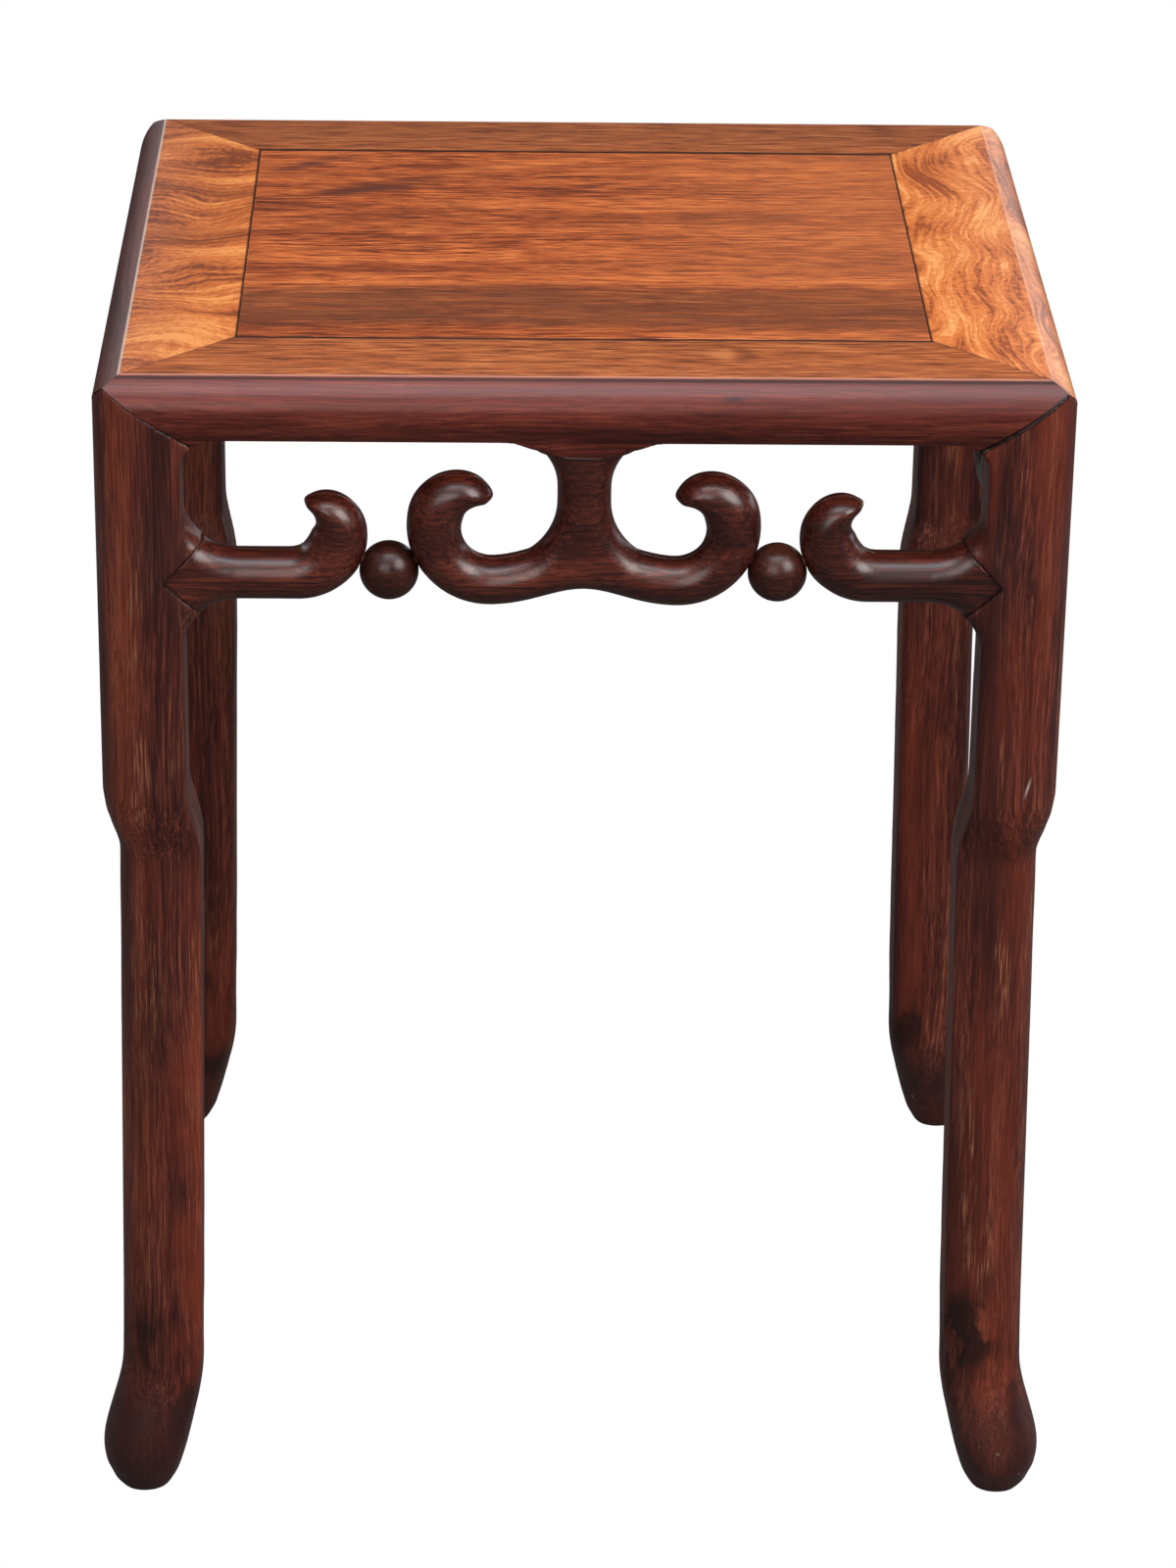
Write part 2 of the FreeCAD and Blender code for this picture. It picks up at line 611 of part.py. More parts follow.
def scroll(half_length, face):
    """Centre scroll: one bar from curl to curl, carried by a stem with a tenon in the rail's boss."""
    motif = motif_scale(half_length)
    place = side_point(face)
    lobe = SCROLL_X * motif
    radii = (SCROLL_OUTER_RADIUS, SCROLL_CURL_RADIUS)
    turns = (SCROLL_SWITCH, SCROLL_TAPER_START, SCROLL_TAPER_END, SCROLL_TIP)
    low = scroll_drop(lobe, motif)
    left = curl_rings(-lobe, low, -1, motif, face, SCROLL_HALF, SCROLL_SWELL, radii, turns)
    right = curl_rings(lobe, low, 1, motif, face, SCROLL_HALF, SCROLL_SWELL, radii, turns)
    middle = []
    for i in range(-LOBE_RINGS, LOBE_RINGS + 1):
        x = lobe * i / LOBE_RINGS
        slope = 0.0
        if abs(i) < LOBE_RINGS:
            slope = scroll_drop(x + SLOPE_STEP, motif) - scroll_drop(x - SLOPE_STEP, motif)
        outward = FreeCAD.Vector(-slope, 0, -2 * SLOPE_STEP).normalize()
        centre = place(x, APRON_MIDDLE, scroll_drop(x, motif))
        middle.append(bar_ring(centre, outward, SCROLL_HALF * motif, APRON_THICKNESS / 2))
    bar = bar_solid(list(reversed(left)) + middle + right)
    return joined(bar, stem(motif, face), stem_tenon(face, 0))


def stem(motif, face):
    """Stem with a narrow waist, flaring upward to the boss and downward into the bar."""
    place = side_point(face)
    def spot(x, drop):
        return place(x, EDGE_LOWER_SETBACK + STEM_SHY, drop)
    seam = RAIL_HEIGHT + BOSS_DROP
    flare_end = RAIL_HEIGHT + STEM_FLARE
    waist = max(RAIL_HEIGHT + STEM_WAIST, flare_end + WAIST_LEAST)
    base = scroll_drop(SCROLL_X * motif, motif)
    low_radius = base - SCROLL_HALF * motif + STEM_BITE - waist
    lower_x = STEM_HALF + low_radius
    foot_turn = math.radians(STEM_FOOT_TURN)
    foot_x = lower_x - low_radius * math.cos(foot_turn)
    foot_drop = waist + low_radius * math.sin(foot_turn)
    seam_x = stem_side(seam)
    edges = [line(spot(-seam_x, seam), spot(seam_x, seam)), line(spot(foot_x, base), spot(-foot_x, base))]
    for sign in (-1, 1):
        def mirrored(x, drop):
            return spot(sign * x, drop)
        edges.append(arc((STEM_HALF + STEM_FLARE, flare_end), STEM_FLARE, 180 - seam_angle(), 180, mirrored))
        edges.append(line(mirrored(STEM_HALF, flare_end), mirrored(STEM_HALF, waist)))
        edges.append(arc((lower_x, waist), low_radius, 180, 180 + STEM_FOOT_TURN, mirrored))
        edges.append(line(mirrored(foot_x, foot_drop), mirrored(foot_x, base)))
    body = prism(edges, FreeCAD.Vector(0, APRON_THICKNESS - 2 * STEM_SHY, 0))
    long_edges = []
    for edge in body.Edges:
        middle = edge.valueAt((edge.FirstParameter + edge.LastParameter) / 2)
        beside = HEIGHT - foot_drop < middle.z < HEIGHT - seam
        if beside and abs(edge.Vertexes[0].Point.z - edge.Vertexes[-1].Point.z) > PLAY:
            long_edges.append(edge)
    return body.makeFillet(min(STEM_ROUND, ROUND_LIMIT * STEM_HALF), long_edges)


def hook(half_length, face, sign, tongue):
    """Hook beside a leg: tenon, pointed shoulder, short arm and a curl towards the middle."""
    motif = motif_scale(half_length)
    place = side_point(face)
    arm_end = half_length - LEG_WIDTH - JOINT_WEB_RADIUS + ARM_BURY
    start = HOOK_X * motif
    rings = []
    for part in (1.0, 0.66, 0.33, 0.0):
        centre = place(sign * (start + (arm_end - start) * part), APRON_MIDDLE, BAR_DROP)
        half_width = ARM_HALF * motif - ARM_SHY
        half_thickness = APRON_THICKNESS / 2 - ARM_SHY
        rings.append(bar_ring(centre, FreeCAD.Vector(0, 0, -1), half_width, half_thickness))
    radii = (HOOK_OUTER_RADIUS, HOOK_CURL_RADIUS)
    turns = (HOOK_SWITCH, HOOK_TAPER_START, HOOK_TAPER_END, HOOK_TIP)
    rings += curl_rings(sign * start, BAR_DROP, -sign, motif, face, ARM_HALF, HOOK_SWELL, radii, turns)
    bar = bar_solid(rings)
    return joined(tongue, bar, hook_tenon(half_length, face, sign, 0))


def bead_place(half_length):
    """Bead centre where it presses lightly on both curls, and the two curl centres, as x and drop."""
    motif = motif_scale(half_length)
    touch = math.radians(BEAD_TOUCH_ANGLE)
    scroll_half = SCROLL_HALF + (SCROLL_SWELL - SCROLL_HALF) * touch / math.radians(SCROLL_TAPER_START)
    from_scroll = (SCROLL_OUTER_RADIUS + scroll_half + BEAD_RADIUS) * motif - BEAD_BITE
    from_hook = (HOOK_OUTER_RADIUS + HOOK_SWELL + BEAD_RADIUS) * motif - BEAD_BITE
    scroll_centre = (SCROLL_X * motif, scroll_drop(SCROLL_X * motif, motif) - SCROLL_OUTER_RADIUS * motif)
    hook_centre = (HOOK_X * motif, BAR_DROP - HOOK_OUTER_RADIUS * motif)
    gap_x, gap_drop = hook_centre[0] - scroll_centre[0], hook_centre[1] - scroll_centre[1]
    gap = math.hypot(gap_x, gap_drop)
    along = (from_scroll ** 2 - from_hook ** 2 + gap ** 2) / (2 * gap)
    down = math.sqrt(from_scroll ** 2 - along ** 2)
    x = scroll_centre[0] + (along * gap_x - down * gap_drop) / gap
    drop = scroll_centre[1] + (along * gap_drop + down * gap_x) / gap
    return (x, drop), scroll_centre, hook_centre


def apron(half_length, face, tongues):
    """Scroll, hooks, beads and pins of one side, built as the front side."""
    motif = motif_scale(half_length)
    place = side_point(face)
    bead_spot, scroll_spot, hook_spot = bead_place(half_length)
    pieces = {"scroll": scroll(half_length, face)}
    pins = []
    for name, sign in (("left", -1), ("right", 1)):
        side_hook = hook(half_length, face, sign, tongues[sign])
        centre = place(sign * bead_spot[0], APRON_MIDDLE, bead_spot[1])
        bead = Part.makeSphere(BEAD_RADIUS * motif, centre, -Y_AXIS)
        seat = Part.makeSphere(BEAD_RADIUS * motif + PLAY, centre, -Y_AXIS)
        bores = []
        for spot in (scroll_spot, hook_spot):
            toward = (place(sign * spot[0], APRON_MIDDLE, spot[1]) - centre).normalize()
            start = centre + toward * (BEAD_RADIUS * motif - PIN_IN_BEAD)
            length = PIN_IN_BEAD + PIN_IN_BAR
            pins.append(Part.makeCylinder(PIN_RADIUS, length, start, toward))
            foot = start - toward * (END_PLAY / 2)
            bores.append(Part.makeCylinder(PIN_RADIUS + PLAY, length + END_PLAY, foot, toward))
        pieces["bead_" + name] = bead.cut(bores)
        pieces["hook_" + name] = side_hook.cut([seat, bores[1]])
        pieces["scroll"] = pieces["scroll"].cut([seat, bores[0]])
    return pieces, pins


# Whole stand

half_x, half_y = TOP_LENGTH / 2, TOP_DEPTH / 2
nodes = {}

leg, front_tongue, side_tongue = front_left_leg()
nodes["leg_front_left"] = leg
nodes["leg_front_right"] = leg.mirror(FreeCAD.Vector(0, 0, 0), FreeCAD.Vector(1, 0, 0))
nodes["leg_back_left"] = leg.mirror(FreeCAD.Vector(0, 0, 0), Y_AXIS)
nodes["leg_back_right"] = turned(leg, 180)

long_rail = rail(half_x, half_y)
for x_sign in (-1, 1):
    long_rail = long_rail.cut(frame_tenon(x_sign, -1, PLAY))
long_rail = long_rail.cut(batten_tenon(-1, PLAY))
nodes["rail_front"] = long_rail
nodes["rail_back"] = turned(long_rail, 180)
short_rail = turned(rail(half_y, half_x), 90)
short_rail = joined(short_rail, frame_tenon(1, -1, 0), frame_tenon(1, 1, 0))
nodes["rail_right"] = short_rail
nodes["rail_left"] = turned(short_rail, 180)

nodes["top_panel"] = panel()
nodes["panel_batten"] = joined(batten_body(0), batten_tenon(-1, 0), batten_tenon(1, 0))

mirror_x = FreeCAD.Vector(1, 0, 0)
origin = FreeCAD.Vector(0, 0, 0)
front_tongues = {-1: front_tongue, 1: front_tongue.mirror(origin, mirror_x)}
side_tongues = {1: side_tongue, -1: side_tongue.mirror(origin, mirror_x)}
long_apron, long_pins = apron(half_x, half_y, front_tongues)
short_apron, short_pins = apron(half_y, half_x, side_tongues)
pins = []
sides = (("front", 0, long_apron, long_pins), ("right", 90, short_apron, short_pins),
         ("back", 180, long_apron, long_pins), ("left", 270, short_apron, short_pins))
for side, angle, pieces, side_pins in sides:
    for piece, shape in pieces.items():
        kind, _, hand = piece.partition("_")
        name = "_".join(word for word in (kind, side, hand) if word)
        nodes[name] = turned(shape, angle)
    pins += [turned(pin, angle) for pin in side_pins]
nodes["bead_pins"] = Part.makeCompound(pins)

os.makedirs("parts", exist_ok=True)
for name, shape in nodes.items():
    shape.exportStep("parts/" + name + ".step")
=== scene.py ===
import math
import bmesh
import bpy
import numpy as np
from mathutils import Matrix, Vector


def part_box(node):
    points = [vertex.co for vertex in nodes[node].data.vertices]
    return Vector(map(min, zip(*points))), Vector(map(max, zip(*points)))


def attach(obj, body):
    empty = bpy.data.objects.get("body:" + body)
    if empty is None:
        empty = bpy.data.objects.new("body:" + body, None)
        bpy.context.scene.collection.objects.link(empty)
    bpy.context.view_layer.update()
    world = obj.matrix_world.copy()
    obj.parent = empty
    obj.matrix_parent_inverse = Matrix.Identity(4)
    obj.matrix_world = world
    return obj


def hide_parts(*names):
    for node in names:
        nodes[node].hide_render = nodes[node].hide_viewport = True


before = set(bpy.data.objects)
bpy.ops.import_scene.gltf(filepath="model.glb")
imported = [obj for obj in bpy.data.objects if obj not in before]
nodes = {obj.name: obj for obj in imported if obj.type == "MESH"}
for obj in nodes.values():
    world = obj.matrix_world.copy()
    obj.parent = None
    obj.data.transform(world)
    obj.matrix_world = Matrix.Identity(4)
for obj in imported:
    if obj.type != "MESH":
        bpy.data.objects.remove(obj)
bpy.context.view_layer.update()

# Legs: four posts of dark red hardwood, each cut from one piece with a knee and a bulbous foot.
# Their tops are mitred to the frame and hold it with hidden tenons; rubbed with wax, worn on the arrises
# and scuffed near the floor.
MM = 1000.0


def reach_of(node, face, axis):
    """Distance of the low (0) or high (1) face of a CAD piece's box from the stand's middle or the floor.

    It is in millimetres, to the nearest tenth.
    """
    return round(abs(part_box(node)[face][axis]) * MM, 1)


HALF_X = reach_of("rail_left", 0, 0)
HALF_Y = reach_of("rail_front", 0, 1)
HEIGHT = reach_of("rail_front", 1, 2)
RAIL_HEIGHT, LEG_WIDTH = 25.5, 36.0
MITRE_SLOPE = RAIL_HEIGHT / LEG_WIDTH
ARM_LEVEL, ARMS_FROM = 434.5, 385.0
SHOULDER_INSET = 28.5
APRON_BACK = 28.0


class Value:
    """One shader output; arithmetic adds Math nodes and node() adds any other node."""

    def __init__(self, tree, socket):
        self.tree = tree
        self.socket = socket

    @classmethod
    def source(cls, tree, kind, output):
        """Output of a new node that takes nothing in."""
        return cls(tree, tree.nodes.new(kind).outputs[output])

    def feed(self, value, target):
        if isinstance(value, Value):
            self.tree.links.new(value.socket, target)
        else:
            target.default_value = value

    def node(self, kind, settings, sockets, output=0):
        made = self.tree.nodes.new(kind)
        for key, value in settings.items():
            setattr(made, key, value)
        for key, value in sockets.items():
            self.feed(value, made.inputs[key])
        return Value(self.tree, made.outputs[output])

    def math(self, operation, *others):
        sockets = dict(enumerate((self,) + others))
        return self.node("ShaderNodeMath", {"operation": operation}, sockets)

    def __add__(self, other):
        return self.math("ADD", other)

    __radd__ = __add__

    def __sub__(self, other):
        return self.math("SUBTRACT", other)

    def __rsub__(self, other):
        return self * -1.0 + other

    def __mul__(self, other):
        return self.math("MULTIPLY", other)

    __rmul__ = __mul__

    def __truediv__(self, other):
        return self.math("DIVIDE", other)

    def __rtruediv__(self, other):
        return self.math("POWER", -1.0) * other

    def __abs__(self):
        return self.math("ABSOLUTE")

    def rise(self, low, high):
        """0 below low, 1 above high, smooth between."""
        settings = {"interpolation_type": "SMOOTHSTEP"}
        return self.node("ShaderNodeMapRange", settings, {"Value": self, "From Min": low, "From Max": high})

    def near(self, place, reach):
        """1 at the place, 0 from the given distance on."""
        return 1.0 - abs(self - place).rise(0.0, reach)

    def noise(self, y, z, detail=2.0, roughness=0.5):
        """Cloudy pattern from 0 to 1 at the place given by this value, y and z."""
        spot = self.node("ShaderNodeCombineXYZ", {}, {"X": self, "Y": y, "Z": z})
        sockets = {"Vector": spot, "Scale": 1.0, "Detail": detail, "Roughness": roughness}
        return self.node("ShaderNodeTexNoise", {"noise_dimensions": "3D"}, sockets)

    def tint(self, first, second):
        """Colour between first (0) and second (1)."""
        settings = {"data_type": "RGBA"}
        return self.node("ShaderNodeMix", settings, {0: self, 6: first, 7: second}, 2)

    def parts(self):
        """The x, y and z of a vector."""
        return [self.node("ShaderNodeSeparateXYZ", {}, {0: self}, i) for i in range(3)]


def colour(red, green, blue):
    """Linear colour from the 0 to 255 scale of a screen."""
    parts = np.array([red, green, blue]) / 255.0
    linear = np.where(parts <= 0.04045, parts / 12.92, ((parts + 0.055) / 1.055) ** 2.4)
    return (*linear.tolist(), 1.0)


def emptied(owner):
    """Node tree of a material or of the world, with nothing in it."""
    owner.use_nodes = True
    owner.node_tree.nodes.clear()
    return owner.node_tree


# How often each figure of the wood repeats per millimetre, along the grain and across it.
BEND, BAND, STREAK = (0.005, 0.02), (0.003, 0.05), (0.014, 0.7)
FIBRE, PORE = (0.05, 2.2), (0.09, 1.4)
SEED_STEP = 913.0
FIBRE_DEPTH = 0.0002
WAX_ROUGHNESS, WAX_SPECULAR = 0.27, 0.25


def wood(name, grain, palette, seed, gloss, figure, wear_and_light, fineness=1.0):
    """Waxed wood in the object's frame: bands, streaks, fibres and pores drawn out along the grain axis.

    palette is dark, middle and light; gloss is roughness and coat weight; figure is the weight of bands,
    streaks and fibres; wear takes the colour, the roughness and the place in millimetres and gives back
    the first two changed, worn and on some pieces painted with light and shade, and what it adds to the
    coat; fineness is how close the fibres lie.
    """
    material = bpy.data.materials.new(name)
    tree = emptied(material)
    shader = tree.nodes.new("ShaderNodeBsdfPrincipled")
    output = tree.nodes.new("ShaderNodeOutputMaterial")
    tree.links.new(shader.outputs[0], output.inputs["Surface"])
    start = Value.source(tree, "ShaderNodeTexCoord", "Object")
    x, y, z = [part * MM for part in start.parts()]
    along, u, v = {"x": (x, y, z), "y": (y, x, z), "z": (z, x, y)}[grain]
    along = along + seed * SEED_STEP
    bend = (along * BEND[0]).noise(u * BEND[1], v * BEND[1], 2.0) - 0.5
    u = u + bend * 16.0
    v = v + bend * 10.0
    band = (along * BAND[0]).noise(u * BAND[1], v * BAND[1], 2.0)
    streak = (along * STREAK[0]).noise(u * STREAK[1], v * STREAK[1], 3.0, 0.6)
    close = FIBRE[1] * fineness
    fibre = (along * FIBRE[0]).noise(u * close, v * close, 3.0, 0.65)
    apart = PORE[1] * fineness
    pore = (along * PORE[0]).noise(u * apart + 31.0, v * apart, 2.0).rise(0.57, 0.66)
    tone = band * figure[0] + streak * figure[1] + fibre * figure[2] + (0.5 - sum(figure) * 0.5)
    body = tone.rise(0.36, 0.54).tint(palette[0], palette[1])
    body = tone.rise(0.5, 0.68).tint(body, palette[2])
    body = (pore * 0.6).tint(body, palette[0])
    rough = streak * 0.16 + gloss[0] - 0.08
    body, rough, polish = wear_and_light(body, rough, x, y, z)
    height = fibre * 0.5 - pore * 0.6
    bump = start.node("ShaderNodeBump", {}, {"Strength": 0.12, "Distance": FIBRE_DEPTH, "Height": height})
    start.feed(body, shader.inputs["Base Color"])
    start.feed(rough, shader.inputs["Roughness"])
    start.feed(bump, shader.inputs["Normal"])
    start.feed(polish + gloss[1], shader.inputs["Coat Weight"])
    shader.inputs["Coat Roughness"].default_value = WAX_ROUGHNESS
    shader.inputs["Specular IOR Level"].default_value = WAX_SPECULAR
    return material


def piece_of(node, material):
    """Copy of a CAD piece with its doubled corners merged, placed as the visible piece of that node."""
    mesh = nodes[node].data.copy()
    work = bmesh.new()
    work.from_mesh(mesh)
    bmesh.ops.remove_doubles(work, verts=work.verts, dist=1e-6)
    work.to_mesh(mesh)
    work.free()
    if "custom_normal" in mesh.attributes:
        mesh.attributes.remove(mesh.attributes["custom_normal"])
    mesh.materials.clear()
    mesh.materials.append(material)
    mesh.polygons.foreach_set("use_smooth", np.ones(len(mesh.polygons), bool))
    mesh.polygons.foreach_set("material_index", np.zeros(len(mesh.polygons), np.int32))
    piece = bpy.data.objects.new("visual_" + node, mesh)
    bpy.context.scene.collection.objects.link(piece)
    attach(piece, "root")
    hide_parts(node)
    return piece


def shoulder_gap(x, y, z):
    """Distance in millimetres inward from the pointed shoulders where the apron's arms enter the legs.

    On each side the shoulder is a V at 45 degrees with its tip level with the arm's middle line.
    """
    rise = np.abs(z - ARM_LEVEL)
    front = HALF_X - SHOULDER_INSET - rise - np.abs(x)
    side = HALF_Y - SHOULDER_INSET - rise - np.abs(y)
    front = np.where(np.abs(y) > HALF_Y - APRON_BACK, front, np.inf)
    side = np.where(np.abs(x) > HALF_X - APRON_BACK, side, np.inf)
    return np.where(np.abs(front) < np.abs(side), front, side) / math.sqrt(2)


def skinned(piece, voxel):
    """Even skin of small quads over a carved piece, in place of its long CAD triangles."""
    skin = piece.modifiers.new("skin", "REMESH")
    skin.mode = "VOXEL"
    skin.voxel_size = voxel
    skin.use_smooth_shade = True
    evaluated = piece.evaluated_get(bpy.context.evaluated_depsgraph_get())
    mesh = bpy.data.meshes.new_from_object(evaluated)
    piece.modifiers.clear()
    piece.data = mesh
    return piece


def spots_of(mesh):
    """Corners of a mesh in millimetres, one row each."""
    spots = np.empty(3 * len(mesh.vertices))
    mesh.vertices.foreach_get("co", spots)
    return spots.reshape(-1, 3) * MM


def rubbed(piece, rounds, share):
    """Rub a skin smooth, fully where share is 1 and hardly where it is 0, in eight steps between."""
    steps = 8
    group = piece.vertex_groups.new(name="rubbed")
    for level in np.linspace(1.0 / steps, 1.0, steps):
        chosen = np.flatnonzero(np.abs(share - level) <= 0.5 / steps)
        group.add(chosen.tolist(), float(level), "REPLACE")
    even = piece.modifiers.new("even", "SMOOTH")
    even.factor = 0.5
    even.iterations = 2
    soft = piece.modifiers.new("soft", "SMOOTH")
    soft.factor = 0.5
    soft.iterations = rounds
    soft.vertex_group = "rubbed"
    return piece


def mitre_distance(x, z):
    """Height above or below the mitre of leg and rail, as seen on the front and the back."""
    return abs(HEIGHT - z - (HALF_X - abs(x)) * MITRE_SLOPE)


LEG_DARK = colour(48, 22, 21)
LEG_MIDDLE = colour(101, 46, 37)
LEG_LIGHT = colour(156, 86, 63)
LEG_RED = colour(140, 58, 36)
SCUFF = colour(188, 122, 88)
# Dark of real stains, also used as painted shade on the left of the front left toe.
STAIN_AND_SHADE = colour(30, 18, 17)
NICK = colour(196, 178, 168)
# Near black of the open joints, also used for the painted shade below the front and back arris.
SEAM_AND_SHADE = colour(22, 11, 10)
FOOT = colour(58, 25, 23)
LEG_PALETTE = (LEG_DARK, LEG_MIDDLE, LEG_LIGHT)
LEG_GLOSS = (0.4, 0.32)
LEG_FIGURE = (0.5, 0.42, 0.62)
LEG_SKIN = 0.00096
LEG_RUBS = 30
SHAFT_FROM, SHAFT_TO = (60.0, 120.0), (420.0, 470.0)
FOOT_TO, STAIN_TO, NICK_TO = (34.0, 60.0), (70.0, 130.0), (20.0, 40.0)
# Front left leg: its right side is painted redder and lighter, partly a red figure and partly painted light;
# the left of its toe is painted dark as shade.
RED_LIT_SIDE_ACROSS, RED_LIT_SIDE_FROM, RED_LIT_SIDE_TO = (-182.0, -166.0), (40.0, 80.0), (190.0, 260.0)
TOE_ACROSS, TOE_TO = (-192.0, -178.0), (36.0, 52.0)
LEG_BLOT, LEG_BLOT_REACH = (171.0, 80.0), (23.0, 32.0)
GOUGE, GOUGE_LEAN = (186.0, 345.0), 0.25
MITRE_DEPTH, SHOULDER_DEPTH, SHOULDER_HALF = 30.0, 24.0, 26.0
HANDLED = (ARM_LEVEL + 12.0, 34.0)


def leg_wear_and_light(order):
    """Wear of one leg: clouds of red and of dark, scuffs where a patch and fine scratches meet on the shaft.

    The foot is darker, stained, nicked and polished; dark lines follow the mitre and the shoulders. The
    front left leg is redder on its right side, a red figure painted lighter there as the lit side, and the
    left of its toe is painted dark as shade; the front right one has a dark blot and a pale gouge.
    """

    def wear_and_light(body, rough, x, y, z):
        own = order * 37.0
        flush = (z * 0.006 + own).noise(x * 0.05, y * 0.05, 2.0).rise(0.42, 0.66)
        body = (flush * 0.4).tint(body, LEG_RED)
        gloom = (z * 0.005 + own).noise(x * 0.045 + 5.0, y * 0.045, 2.0).rise(0.48, 0.68)
        body = (gloom * 0.55).tint(body, LEG_DARK)
        patch = (z * 0.012 + own).noise(x * 0.09, y * 0.09, 3.0).rise(0.52, 0.68)
        scratch = (z * 0.05).noise(x * 1.3, y * 1.3, 3.0, 0.65).rise(0.5, 0.66)
        shaft = z.rise(*SHAFT_FROM) * (1.0 - z.rise(*SHAFT_TO))
        scuffs = patch * scratch * shaft
        body = (scuffs * 0.7).tint(body, SCUFF)
        cloud = (z * 0.03 + own).noise(x * 0.05 + 7.0, y * 0.05, 3.0)
        stain = cloud.rise(0.5, 0.64) * (1.0 - z.rise(*STAIN_TO))
        body = (stain * 0.75).tint(body, STAIN_AND_SHADE)
        nick = (z * 0.22).noise(x * 0.22, y * 0.22 + 3.0, 1.0).rise(0.73, 0.77)
        body = (nick * (1.0 - z.rise(*NICK_TO))).tint(body, NICK)
        if order == 0:
            # Red figure on the right side, painted lighter there as the side the light falls on.
            red_lit_side = x.rise(*RED_LIT_SIDE_ACROSS) * z.rise(*RED_LIT_SIDE_FROM) * (1.0 - z.rise(*RED_LIT_SIDE_TO))
            body = (red_lit_side * cloud.rise(0.3, 0.6) * 0.6).tint(body, LEG_RED)
            # Painted shade: the left of the toe is painted dark, as the side turned from the light.
            toe = (1.0 - x.rise(*TOE_ACROSS)) * (1.0 - z.rise(*TOE_TO))
            body = (toe * 0.7).tint(body, STAIN_AND_SHADE)
        if order == 1:
            ragged = (z * 0.05).noise(x * 0.09, y * 0.09 + 2.0, 3.0, 0.6).rise(0.38, 0.52)
            blot = x.near(LEG_BLOT[0], LEG_BLOT_REACH[0]) * z.near(LEG_BLOT[1], LEG_BLOT_REACH[1]) * ragged
            body = (blot * 1.5).math("MINIMUM", 0.85).tint(body, STAIN_AND_SHADE)
            slant = abs(x - GOUGE[0] - (z - GOUGE[1]) * GOUGE_LEAN)
            body = ((1.0 - slant.rise(0.3, 0.8)) * z.near(GOUGE[1], 6.0) * 0.7).tint(body, NICK)
        mitre = mitre_distance(x, z) / (x.rise(-1.0, 1.0) + 0.6)
        outer = (abs(y) - HALF_Y + MITRE_DEPTH).rise(0.0, 1.0)
        body = ((1.0 - mitre.rise(0.7, 1.5)) * outer * 0.92).tint(body, SEAM_AND_SHADE)
        from_arm = abs(z - ARM_LEVEL)
        shoulder = abs(HALF_X - SHOULDER_INSET - from_arm - abs(x))
        face = (abs(y) - HALF_Y + SHOULDER_DEPTH).rise(0.0, 1.0)
        face = face * from_arm.near(0.0, SHOULDER_HALF).rise(0.0, 0.05)
        body = ((1.0 - shoulder.rise(0.4, 1.0)) * face * 0.85).tint(body, SEAM_AND_SHADE)
        foot = 1.0 - z.rise(*FOOT_TO)
        body = (foot * 0.65).tint(body, FOOT)
        handled = z.near(*HANDLED) * 0.4
        return body, rough + scuffs * 0.2 - foot * 0.1, foot * 0.65 + handled

    return wear_and_light


def leg_share(x, y, z):
    """Rubbing of a leg: full around its arms, none at the shoulders and the mitre, little on the shaft."""
    across = np.maximum(HALF_X - np.abs(x), HALF_Y - np.abs(y))
    mitre = np.abs(HEIGHT - z - MITRE_SLOPE * across)
    joint = np.minimum(np.abs(shoulder_gap(x, y, z)), mitre)
    return np.where(z < ARMS_FROM, 0.25, np.clip((joint - 1.0) / 5.0, 0.0, 1.0))


for index, corner in enumerate(("front_left", "front_right", "back_left", "back_right")):
    name = "leg_wood_" + corner
    leg_wood = wood(name, "z", LEG_PALETTE, index + 1, LEG_GLOSS, LEG_FIGURE, leg_wear_and_light(index))
    leg = skinned(piece_of("leg_" + corner, leg_wood), LEG_SKIN)
    rubbed(leg, LEG_RUBS, leg_share(*spots_of(leg.data).T))

# Long rails: the front and back members of the top frame, mitred at the corners and moulded on the
# outer edge, with a boss below for the apron. Solid hardwood, its grain along the rail; redder and waxed
# on the edge, rubbed pale on top.
PANEL_X = reach_of("rail_left", 1, 0)
PANEL_Y = reach_of("rail_front", 1, 1)
EDGE_SETBACK = 12.0
KNOT = (58.0, -141.0)
KNOT_HALVES = (58.0, 64.0)
DENT = (60.0, 516.0)
DENT_DEPTH = (-170.0, -160.0)
# Pale arris, partly worn and partly a painted highlight, and the painted red sheen of the upper moulding.
ARRIS = colour(206, 150, 132)
RAIL_SHEEN = colour(156, 66, 52)
DENT_DARK = colour(44, 34, 48)
RAIL_TOP = (colour(88, 40, 18), colour(160, 84, 42), colour(206, 127, 72))
RAIL_EDGE = (colour(52, 21, 19), colour(98, 39, 31), colour(138, 66, 50))
LONG_RAIL_GLOSS = (0.4, 0.3)
RAIL_FIGURE = (0.45, 0.4, 0.45)


def seam_dark(body, x, y, amount):
    """Dark line along the four corner mitres."""
    offset = abs(abs(x) - abs(y) - (HALF_X - HALF_Y))
    return ((1.0 - offset.rise(0.2, 0.7)) * amount).tint(body, SEAM_AND_SHADE)


